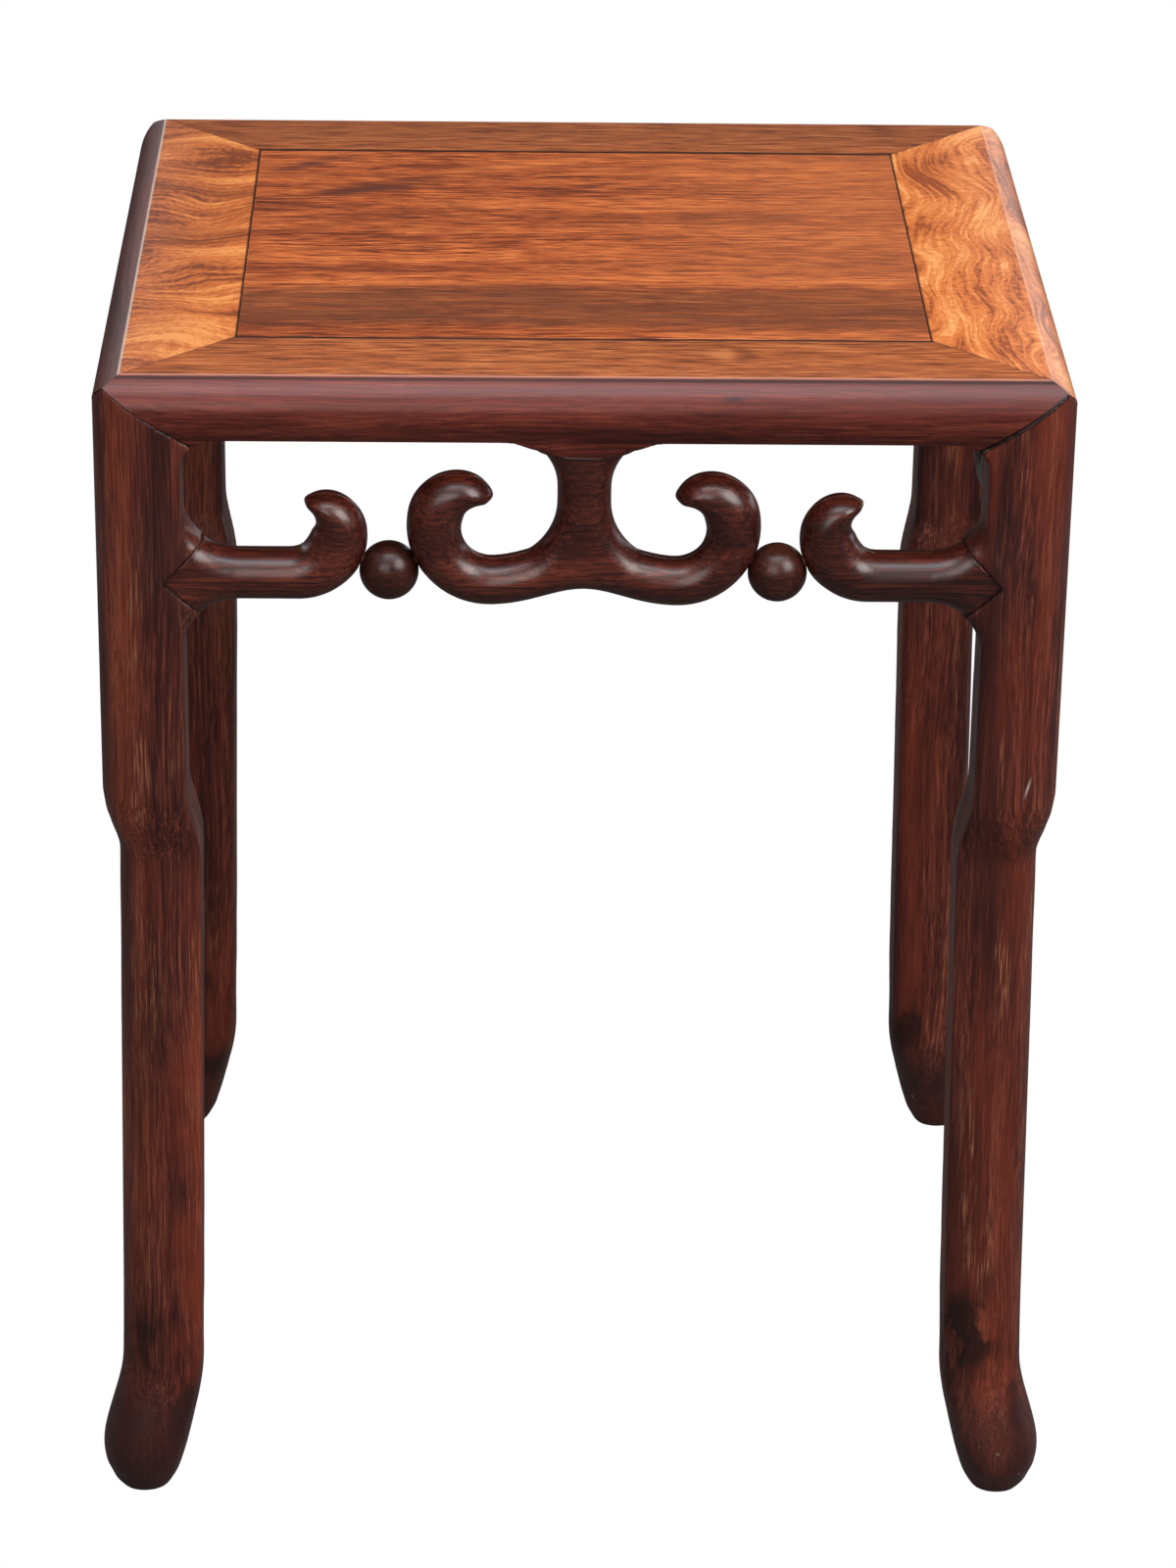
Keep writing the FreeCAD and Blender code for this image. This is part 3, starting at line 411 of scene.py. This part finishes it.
def long_rail_wear_and_light(body, rough, x, y, z):
    """Colour of a long rail, worn and in places painted with light: pale grained top, upper moulding painted
    redder as its sheen, a pale arris that is partly worn and partly a painted highlight, a dark line of
    painted shade below it, and dark joints.

    The front rail has a half light, half dark knot on top and a small dent under its arris.
    """
    grain = (x * 0.016).noise(y * 0.5, z * 0.5, 3.0, 0.6)
    fine = (x * 0.06).noise(y * 1.1, z * 1.1, 3.0, 0.65)
    tone = grain * 0.45 + fine * 0.85 - 0.15
    face = tone.rise(0.34, 0.54).tint(RAIL_TOP[0], RAIL_TOP[1])
    face = tone.rise(0.5, 0.75).tint(face, RAIL_TOP[2])
    edge = abs(y) - HALF_Y + EDGE_SETBACK
    top = 1.0 - edge.rise(0.2, 0.7)
    # Painted sheen: the upper moulding, which faces the overhead light, is painted redder and lighter.
    body = (z.rise(HEIGHT - 17.0, HEIGHT - 5.0) * 0.22).tint(body, RAIL_SHEEN)
    body = top.tint(body, face)
    # Pale arris: partly a worn edge, partly a painted highlight.
    body = (edge.near(0.0, 1.0) * 0.6).tint(body, ARRIS)
    # Painted shade: a dark line in the small step below the arris.
    body = (edge.near(1.9, 1.3) * 0.85).tint(body, SEAM_AND_SHADE)
    knot = ((x - KNOT[0]).math("POWER", 2.0) * 0.6 + (y - KNOT[1]).math("POWER", 2.0)).math("SQRT")
    dark_half = x.rise(*KNOT_HALVES)
    body = (knot.near(2.0, 7.0) * 0.55 * (1.0 - dark_half)).tint(body, RAIL_TOP[2])
    body = (knot.near(7.0, 4.5) * 0.5 * dark_half).tint(body, RAIL_TOP[0])
    dent = x.near(DENT[0], 7.0) * z.near(DENT[1], 1.6) * (1.0 - y.rise(*DENT_DEPTH))
    body = (dent * 0.8).tint(body, DENT_DARK)
    border = (1.0 - (abs(y) - PANEL_Y).rise(1.5, 2.6)) * top
    body = (border * 0.95).tint(body, SEAM_AND_SHADE)
    wider = x.rise(-1.0, 1.0) * 0.7 + 0.2
    open_seam = (1.0 - mitre_distance(x, z).rise(0.5, 1.1)) * (1.0 - top) * wider
    body = open_seam.tint(body, SEAM_AND_SHADE)
    return seam_dark(body, x, y, 0.5), rough + top * 0.1, top * -0.22


RAIL_UNDERSIDE = HEIGHT - RAIL_HEIGHT
BOSS_SEAM = reach_of("rail_front", 0, 2)
BOSS_HEIGHT = RAIL_UNDERSIDE - BOSS_SEAM
BOSS_ROOT, BOSS_MARGIN = 2.0, 0.3
STEM_MORTISE = 13.0
APRON_MIDDLE, APRON_HALF = 15.5, 12.0
APRON_SKIN = 0.0007
ROUND_WIDTH = 11.5
ROUND_SHARE = 0.96
OUTLINE_DEPTH = 3.2
CREASE = math.radians(32.0)


def outline_distance(points, outline):
    """Distance from each point to the nearest one of the outline, found in blocks."""
    blocks = np.array_split(points, max(1, len(points) // 2000))
    own = (outline ** 2).sum(1)
    squared = [((b ** 2).sum(1)[:, None] + own - 2.0 * b @ outline.T).min(1) for b in blocks]
    return np.sqrt(np.maximum(np.concatenate(squared), 0.0))


def rounded(spots, along, gap, lift=0.0):
    """Press a skin in to a full round section about the apron's middle plane.

    At a distance d from the outline the half thickness is a quarter ellipse of d over ROUND_WIDTH, and a
    little of the old depth is kept, so that no points fall together. The outline is read a little off
    the middle plane, clear of the bead pins; along is the axis of the apron; gap is the distance from
    the piece's joints, which count as no outline; lift makes the section squarer again.
    """
    spots = spots.copy()
    deep = 1 - along
    middle = np.sign(np.median(spots[:, deep])) * ((HALF_X, HALF_Y)[deep] - APRON_MIDDLE)
    depth = spots[:, deep] - middle
    plane = spots[:, [along, 2]]
    edge = (np.abs(np.abs(depth) - OUTLINE_DEPTH) < 0.5) & (gap > 0.9)
    part = np.clip(outline_distance(plane, plane[edge]) / ROUND_WIDTH + lift, 0.0, 1.0)
    half = APRON_HALF * np.sqrt(1.0 - (1.0 - part) ** 2)
    pressed = middle + ROUND_SHARE * np.clip(depth, -half, half) + (1.0 - ROUND_SHARE) * depth
    spots[:, deep] = np.where(gap > -0.4, pressed, spots[:, deep])
    return spots


def parted(mesh, axis, level, below):
    """Part of a closed mesh below or above a level on one axis, with the cut closed."""
    work = bmesh.new()
    work.from_mesh(mesh)
    way = Vector([float(axis == i) for i in range(3)])
    cut = bmesh.ops.bisect_plane(
        work,
        geom=work.verts[:] + work.edges[:] + work.faces[:],
        plane_co=way * level / MM,
        plane_no=way,
        clear_outer=below,
        clear_inner=not below,
    )
    rim = [item for item in cut["geom_cut"] if isinstance(item, bmesh.types.BMEdge)]
    bmesh.ops.triangle_fill(work, edges=rim, use_dissolve=False)
    bmesh.ops.recalc_face_normals(work, faces=work.faces)
    part = mesh.copy()
    work.to_mesh(part)
    work.free()
    return part


def with_round_boss(piece, along):
    """Rail with its boss, the short root of the scroll's stem, carved round like the stem below it."""
    deep = 1 - along
    spots = spots_of(piece.data)
    hanging = spots[spots[:, 2] < RAIL_UNDERSIDE - 0.2]
    boss = piece.copy()
    boss.data = parted(piece.data, 2, RAIL_UNDERSIDE + BOSS_ROOT, True)
    boss.data = parted(boss.data, deep, hanging[:, deep].min() - BOSS_MARGIN, False)
    boss.data = parted(boss.data, deep, hanging[:, deep].max() + BOSS_MARGIN, True)
    bpy.context.scene.collection.objects.link(boss)
    skinned(boss, APRON_SKIN)
    spots = spots_of(boss.data)
    height = spots[:, 2] - BOSS_SEAM
    mortise = np.abs(spots[:, along]) < STEM_MORTISE
    gap = np.where(mortise, 0.0, np.clip(height, 0.0, 1.0))
    spots = rounded(spots, along, gap, np.clip(height / BOSS_HEIGHT, 0.0, 1.0))
    boss.data.vertices.foreach_set("co", (spots / MM).ravel())
    body = bmesh.new()
    body.from_mesh(parted(piece.data, 2, RAIL_UNDERSIDE - 0.05, False))
    body.from_mesh(boss.data)
    body.to_mesh(piece.data)
    body.free()
    bpy.data.objects.remove(boss)
    piece.data.set_sharp_from_angle(angle=CREASE)
    return piece


for index, side in enumerate(("front", "back")):
    name = "long_rail_wood_" + side
    rail_wood = wood(name, "x", RAIL_EDGE, index + 11, LONG_RAIL_GLOSS, RAIL_FIGURE, long_rail_wear_and_light)
    with_round_boss(piece_of("rail_" + side, rail_wood), 0)

# Short rails: the end members of the frame, tenoned into the long ones behind the mitre.
# The same hardwood cut across a swirling figure, so that the top looks lighter and more orange.
# Pale arris of the short rails, partly a worn edge and partly a painted highlight.
PALE_ARRIS = colour(232, 214, 198)
SWIRL_EDGE = (colour(84, 36, 22), colour(134, 62, 38), colour(172, 94, 58))
SWIRL_LEFT = (colour(122, 56, 24), colour(196, 104, 46), colour(232, 150, 82))
SWIRL_RIGHT = (colour(142, 66, 26), colour(206, 113, 52), colour(236, 160, 94))
CROSS_BAND, FAINT_BAND = (62.0, 13.0), (4.0, 16.0)
SHORT_RAIL_GLOSS = (0.4, 0.2)


def short_rail_wear_and_light(palette, lie):
    """Worn colour of a short rail whose figure lines lie across it (1) or along it (0), bent in slow curves,
    with a pale arris that is partly worn and partly a painted highlight.
    """

    def wear_and_light(body, rough, x, y, z):
        warp = (y * 0.013).noise(x * 0.017 + 3.0 * lie, z * 0.02, 1.0) - 0.5
        run = y * lie + x * (1.0 - lie) + warp * 70.0
        other = x * lie + y * (1.0 - lie)
        broad = (run * 0.045).noise(other * 0.014, z * 0.02, 2.0)
        lines = (run * 0.45).noise(other * 0.025, z * 0.02, 3.0, 0.6)
        fine = (run * 0.5 + warp * 9.0).noise(other * 0.3, z * 0.6, 4.0, 0.7)
        tone = broad * 0.75 + lines * 0.65 + fine * 0.5 - 0.45
        face = tone.rise(0.34, 0.52).tint(palette[0], palette[1])
        face = tone.rise(0.5, 0.72).tint(face, palette[2])
        across = y + warp * 40.0
        cross = across.near(*CROSS_BAND) * 0.7 + across.near(*FAINT_BAND) * 0.45
        face = (cross * broad.rise(0.3, 0.55) * lie).tint(face, palette[0])
        edge = abs(x) - HALF_X + EDGE_SETBACK
        top = 1.0 - edge.rise(0.2, 0.7)
        upper = top + (1.0 - top) * z.rise(HEIGHT - 16.0, HEIGHT - 5.0) * (1.0 - lie)
        body = upper.tint(body, face)
        # Pale arris, stronger on the left rail: partly a worn edge, partly a painted highlight.
        body = (edge.near(0.5, 0.9) * (0.25 + 0.35 * lie)).tint(body, PALE_ARRIS)
        border = (1.0 - (abs(x) - PANEL_X).rise(0.3, 0.9)) * top
        body = (border * 0.8).tint(body, SEAM_AND_SHADE)
        return seam_dark(body, x, y, 0.5), rough + top * 0.1, top * -0.12

    return wear_and_light


SHORT_RAILS = (("left", RAIL_EDGE, SWIRL_LEFT, 1.0), ("right", SWIRL_EDGE, SWIRL_RIGHT, 0.0))
for index, (side, edge_palette, top_palette, lie) in enumerate(SHORT_RAILS):
    name = "short_rail_wood_" + side
    wear_and_light = short_rail_wear_and_light(top_palette, lie)
    rail_wood = wood(name, "y", edge_palette, index + 21, SHORT_RAIL_GLOSS, RAIL_FIGURE, wear_and_light)
    with_round_boss(piece_of("rail_" + side, rail_wood), 1)

# Panel: one thin board that floats in grooves of the frame, straight grained along the length,
# darker bands near the front, with a few light scratches from use.
PANEL_PALETTE = (colour(84, 32, 13), colour(176, 82, 35), colour(222, 126, 64))
PANEL_SHADE = colour(96, 50, 28)
PANEL_BLOT = colour(84, 40, 26)
PANEL_HAZE = colour(186, 108, 64)
PANEL_SCRATCH = colour(214, 160, 116)
PANEL_GLOSS = (0.5, 0.08)
PANEL_FIGURE = (0.3, 0.35, 1.05)
PANEL_FINENESS = 0.6
PANEL_ARRIS = 0.0003
SHADE_BAND, SHADE_EDGE = (-86.0, 46.0), (-86.0, 50.0)
FRONT_STRIP = (-121.0, 11.0)
HAZE_ACROSS = (-30.0, 120.0)
SCRATCH_EVERY = 37.0
# Strokes on the panel: the middle, the slope, and the reach along the length and across the stroke.
GLOW_STROKE = ((-18.0, 106.0), 0.32, (62.0, 9.0))
LONG_STROKE = ((-92.0, 70.0), 0.42, (44.0, 11.0))
FAR_STROKE = ((-120.0, 103.0), 0.6, (32.0, 9.0))
BRANCH_STROKE = ((-58.0, 50.0), -0.5, (24.0, 7.0))


def stroke(x, y, middle, slope, reach):
    """1 on a slanting stroke at its middle, fading to 0 at its reach along the length and across it."""
    return x.near(middle[0], reach[0]) * (y - (x - middle[0]) * slope - middle[1]).near(0.0, reach[1])


def panel_wear(body, rough, x, y, z):
    """Wear of the panel: dark band near the front, haze to the right, strokes behind, slanting scratches."""
    sway = (x * 0.006).noise(y * 0.02, z * 0.01, 2.0) * 40.0 - 20.0
    level = y + sway
    streaks = (x * 0.015).noise(y * 0.4, z * 0.1, 3.0, 0.6).rise(0.3, 0.6)
    front = level.near(*SHADE_BAND).rise(0.1, 0.8) * (1.0 - y.near(*FRONT_STRIP))
    body = (front * (streaks * 0.4 + 0.4)).tint(body, PANEL_SHADE)
    haze = x.rise(*HAZE_ACROSS) * (1.0 - level.near(*SHADE_EDGE))
    body = (haze * 0.3).tint(body, PANEL_HAZE)
    body = (stroke(x, y, *GLOW_STROKE) * streaks * 0.6).tint(body, PANEL_PALETTE[2])
    smear = (x * 0.02).noise(y * 0.22, z * 0.1, 3.0, 0.6).rise(0.3, 0.55)
    blot = stroke(x, y, *LONG_STROKE) + stroke(x, y, *FAR_STROKE) * 0.7
    blot = blot + stroke(x, y, *BRANCH_STROKE) * 0.6
    body = (blot * smear * 1.2).math("MINIMUM", 0.85).tint(body, PANEL_BLOT)
    slant = x * 0.5 + y
    mark = (x * 0.02).noise(slant * 0.02, y * 0.02, 1.0).rise(0.6, 0.66)
    scratch = slant.math("PINGPONG", SCRATCH_EVERY).near(20.0, 0.35) * mark
    body = (scratch * 0.5).tint(body, PANEL_SCRATCH)
    return body, rough + scratch * 0.1, 0.0


def worked(piece, arris):
    """Planed piece: crisp edges kept where faces turn, each taken off by a fine rounded arris."""
    piece.data.set_sharp_from_angle(angle=CREASE)
    edge = piece.modifiers.new("arris", "BEVEL")
    edge.limit_method = "ANGLE"
    edge.angle_limit = CREASE
    edge.width = arris
    edge.segments = 2
    return piece


panel_wood = wood(
    "panel_wood", "x", PANEL_PALETTE, 31, PANEL_GLOSS, PANEL_FIGURE, panel_wear, PANEL_FINENESS
)
worked(piece_of("top_panel", panel_wood), PANEL_ARRIS)

# Batten: a plain bar under the panel that keeps it flat, dovetailed across its grain and tenoned into the
# long rails. The same hardwood, left dry from the plane because nobody sees it.
DRY_PALETTE = (colour(84, 48, 34), colour(122, 76, 54), colour(150, 100, 72))
DRY_GLOSS = (0.6, 0.0)
DRY_FIGURE = (0.5, 0.4, 0.4)
BATTEN_ARRIS = 0.0004


def no_wear(body, rough, x, y, z):
    """Wood as it left the bench: nothing changes the colour, the roughness or the coat."""
    return body, rough, 0.0


hidden_wood = wood("hidden_wood", "y", DRY_PALETTE, 41, DRY_GLOSS, DRY_FIGURE, no_wear)
worked(piece_of("panel_batten", hidden_wood), BATTEN_ARRIS)

# Scrolls and hooks: the openwork apron of each side. A scroll is two curls on one stem that is tenoned into
# the rail's boss; a hook is an arm tenoned into the leg with a pointed shoulder and ending in a curl.
# Carved from one board, rounded all over and polished by handling; grain along the apron.
SIDES = {"front": 0, "back": 0, "left": 1, "right": 1}
APRON_PALETTE = (colour(28, 10, 9), colour(74, 27, 20), colour(122, 56, 38))
APRON_GLOSS = (0.36, 0.95)
APRON_FIGURE = (0.4, 0.45, 0.5)
APRON_RUBS = 14
BEAK_START, BEAK_SPREAD = 4.5, 2.6
# Beaks on the right: the curl's end from the apron's middle and the arm's level, the heading, the reach.
SCROLL_BEAK = ((38.8, 33.2), (-0.8, -0.6), 3.0)
HOOK_BEAK = ((113.4, 30.9), (0.94, 0.3), 3.4)


def apron_wear(body, rough, x, y, z):
    """Wear of the apron: only a dark line at the seam of stem and boss."""
    seam = z.near(BOSS_SEAM, 0.7)
    body = (seam * 0.8).tint(body, SEAM_AND_SHADE)
    return body, rough, 0.0


def beaked(spots, along, hand, motif, tip, heading, reach):
    """Draw the round end of a curl out into a beak: a smooth bump of the given reach along the heading.

    hand is 1 for a curl on the right and -1 for one on the left; motif is the size of this apron's curls
    against the front's.
    """
    spots = spots.copy()
    heading = np.array((hand * heading[0], heading[1]))
    heading = heading / np.hypot(*heading)
    tip = np.array((hand * tip[0] * motif, ARM_LEVEL + tip[1] * motif))
    plane = spots[:, [along, 2]] - tip - heading * BEAK_START
    weight = np.exp(-(plane ** 2).sum(1) / (2 * BEAK_SPREAD ** 2)) * reach
    spots[:, along] += weight * heading[0]
    spots[:, 2] += weight * heading[1]
    return spots


def carved(piece, spots, gap):
    """Apron piece with its skin moved to the carved spots and rubbed smooth away from its joints."""
    piece.data.vertices.foreach_set("co", (spots / MM).ravel())
    return rubbed(piece, APRON_RUBS, np.clip((gap - 0.7) / 4.0, 0.0, 1.0))


def width_of(node, axis):
    """Width of a CAD piece along one axis, in metres."""
    low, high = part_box(node)
    return high[axis] - low[axis]


for index, (side, along) in enumerate(SIDES.items()):
    name = "apron_wood_" + side
    apron_wood = wood(name, "xy"[along], APRON_PALETTE, index + 51, APRON_GLOSS, APRON_FIGURE, apron_wear)
    motif = width_of("scroll_" + side, along) / width_of("scroll_front", 0)
    scroll = skinned(piece_of("scroll_" + side, apron_wood), APRON_SKIN)
    spots = spots_of(scroll.data)
    gap = BOSS_SEAM - spots[:, 2]
    spots = rounded(spots, along, gap)
    for hand in (-1.0, 1.0):
        spots = beaked(spots, along, hand, motif, *SCROLL_BEAK)
    carved(scroll, spots, gap)
    for end in ("left", "right"):
        hook = skinned(piece_of("hook_" + side + "_" + end, apron_wood), APRON_SKIN)
        spots = spots_of(hook.data)
        gap = shoulder_gap(*spots.T)
        spots = rounded(spots, along, gap)
        hand = np.sign(np.median(spots[:, along]))
        carved(hook, beaked(spots, along, hand, motif, *HOOK_BEAK), gap)

# Beads: turned balls, dark and polished, that fill the gaps between the curls of scroll and hook.
# Each is held by hidden pins of the same wood, let into the curls beside it.
BEAD_PALETTE = (colour(32, 14, 12), colour(66, 30, 23), colour(100, 52, 38))
BEAD_GLOSS = (0.33, 0.5)
BEAD_FIGURE = (0.4, 0.35, 0.45)
BEAD_CREASE = math.radians(40.0)
for index, (side, along) in enumerate(SIDES.items()):
    name = "bead_wood_" + side
    bead_wood = wood(name, "xy"[along], BEAD_PALETTE, index + 61, BEAD_GLOSS, BEAD_FIGURE, no_wear)
    for end in ("left", "right"):
        bead = piece_of("bead_" + side + "_" + end, bead_wood)
        bead.data.set_sharp_from_angle(angle=BEAD_CREASE)
piece_of("bead_pins", hidden_wood)

# Room: a floor and a backdrop that are plain white to the camera and dimmer to the stand, two pale cards
# at its sides that its wax mirrors, and three soft lights: overhead, from the right and from the front.
FLOOR_REACH = 6.0
FLOOR_FADE = (-0.3, 0.4)
NEAR_FLOOR, FAR_FLOOR = colour(110, 110, 110), colour(180, 180, 180)
MIRRORED_FLOOR = colour(88, 86, 84)
WHITE = (1.0, 1.0, 1.0, 1.0)
ROOM_TINT = (0.96, 0.98, 1.0, 1.0)
ROOM_DIM, ROOM_BRIGHT = 0.08, 2.08
CEILING_UP, CEILING_LEVEL = (0.6, 0.95), 0.43
LEFT_CARD_UP, LEFT_CARD_OUT = (0.32, 0.2), (0.14, 0.3)
RIGHT_CARD_UP, RIGHT_CARD_OUT = (0.12, 0.26), (0.14, 0.32)
CARDS_BACK = (-0.1, 0.5)

corners = [(-FLOOR_REACH, -FLOOR_REACH, 0), (FLOOR_REACH, -FLOOR_REACH, 0)]
corners += [(FLOOR_REACH, FLOOR_REACH, 0), (-FLOOR_REACH, FLOOR_REACH, 0)]
floor_mesh = bpy.data.meshes.new("floor")
floor_mesh.from_pydata(corners, [], [(0, 1, 2, 3)])
floor = bpy.data.objects.new("floor", floor_mesh)
bpy.context.scene.collection.objects.link(floor)
floor_paint = bpy.data.materials.new("floor")
tree = emptied(floor_paint)
seen = Value.source(tree, "ShaderNodeLightPath", "Is Camera Ray")
mirrored = Value.source(tree, "ShaderNodeLightPath", "Is Glossy Ray")
back = Value.source(tree, "ShaderNodeTexCoord", "Object").parts()[1].rise(*FLOOR_FADE)
near_floor = seen.node("ShaderNodeBsdfDiffuse", {}, {"Color": NEAR_FLOOR})
far_floor = seen.node("ShaderNodeBsdfDiffuse", {}, {"Color": FAR_FLOOR})
dim_floor = seen.node("ShaderNodeBsdfDiffuse", {}, {"Color": MIRRORED_FLOOR})
matt = seen.node("ShaderNodeMixShader", {}, {0: back, 1: near_floor, 2: far_floor})
matt = seen.node("ShaderNodeMixShader", {}, {0: mirrored, 1: matt, 2: dim_floor})
white = seen.node("ShaderNodeEmission", {}, {"Color": WHITE, "Strength": 1.0})
shown = seen.node("ShaderNodeMixShader", {}, {0: seen, 1: matt, 2: white})
output = tree.nodes.new("ShaderNodeOutputMaterial")
tree.links.new(shown.socket, output.inputs["Surface"])
floor_mesh.materials.append(floor_paint)

world = bpy.data.worlds.new("room")
bpy.context.scene.world = world
tree = emptied(world)
seen = Value.source(tree, "ShaderNodeLightPath", "Is Camera Ray")
side_way, depth_way, up_way = Value.source(tree, "ShaderNodeTexCoord", "Generated").parts()
left_card = up_way.near(*LEFT_CARD_UP) * (0.0 - side_way).rise(*LEFT_CARD_OUT)
right_card = up_way.near(*RIGHT_CARD_UP) * side_way.rise(*RIGHT_CARD_OUT)
level = up_way.rise(*CEILING_UP) * CEILING_LEVEL + (left_card + right_card) * depth_way.rise(*CARDS_BACK)
dim = seen.node("ShaderNodeBackground", {}, {"Color": ROOM_TINT, "Strength": ROOM_DIM})
bright = seen.node("ShaderNodeBackground", {}, {"Color": ROOM_TINT, "Strength": ROOM_BRIGHT})
room = seen.node("ShaderNodeMixShader", {}, {0: level, 1: dim, 2: bright})
white = seen.node("ShaderNodeBackground", {}, {"Color": WHITE, "Strength": 1.0})
shown = seen.node("ShaderNodeMixShader", {}, {0: seen, 1: room, 2: white})
output = tree.nodes.new("ShaderNodeOutputWorld")
tree.links.new(shown.socket, output.inputs["Surface"])


def soft_light(name, place, target, size, power, tint):
    """Rectangular light of the given width and height at a place in metres, facing the target."""
    lamp = bpy.data.lights.new(name, "AREA")
    lamp.shape = "RECTANGLE"
    lamp.size, lamp.size_y = size
    lamp.energy = power
    lamp.color = tint
    light = bpy.data.objects.new(name, lamp)
    bpy.context.scene.collection.objects.link(light)
    light.location = place
    light.rotation_euler = (Vector(target) - Vector(place)).to_track_quat("-Z", "Y").to_euler()


soft_light("overhead", (0.1, -0.35, 1.9), (0.0, 0.0, 0.4), (1.3, 0.8), 12.0, (0.86, 0.93, 1.0))
soft_light("from_right", (1.6, -1.45, 2.0), (0.0, 0.0, 0.3), (1.4, 1.4), 42.0, (0.98, 0.97, 0.95))
soft_light("from_front", (-0.9, -2.6, 1.9), (0.0, 0.0, 0.3), (2.0, 1.4), 24.0, (1.0, 0.98, 0.95))

# Camera: a long lens about two metres in front of the stand, a little above its top, looking down
# and turned slightly, so that the stand is seen as it was photographed.
YAW, PITCH, ROLL = math.radians(-1.32), math.radians(24.91), math.radians(0.84)
CAMERA_PLACE = (-0.042, -2.1274, 1.2512)
FOCAL_LENGTH, SENSOR_WIDTH = 118.73, 36.0
level_right = Vector((math.cos(YAW), math.sin(YAW), 0.0))
ahead = Vector((-math.sin(YAW) * math.cos(PITCH), math.cos(YAW) * math.cos(PITCH), -math.sin(PITCH)))
level_up = level_right.cross(ahead)
right = level_right * math.cos(ROLL) + level_up * math.sin(ROLL)
up = level_up * math.cos(ROLL) - level_right * math.sin(ROLL)
lens = bpy.data.cameras.new("camera")
lens.sensor_width = SENSOR_WIDTH
lens.lens = FOCAL_LENGTH
camera = bpy.data.objects.new("camera", lens)
bpy.context.scene.collection.objects.link(camera)
turn = Matrix((right, up, -ahead)).transposed().to_4x4()
camera.matrix_world = Matrix.Translation(CAMERA_PLACE) @ turn
bpy.context.scene.camera = camera
bpy.context.scene.view_settings.view_transform = "Standard"
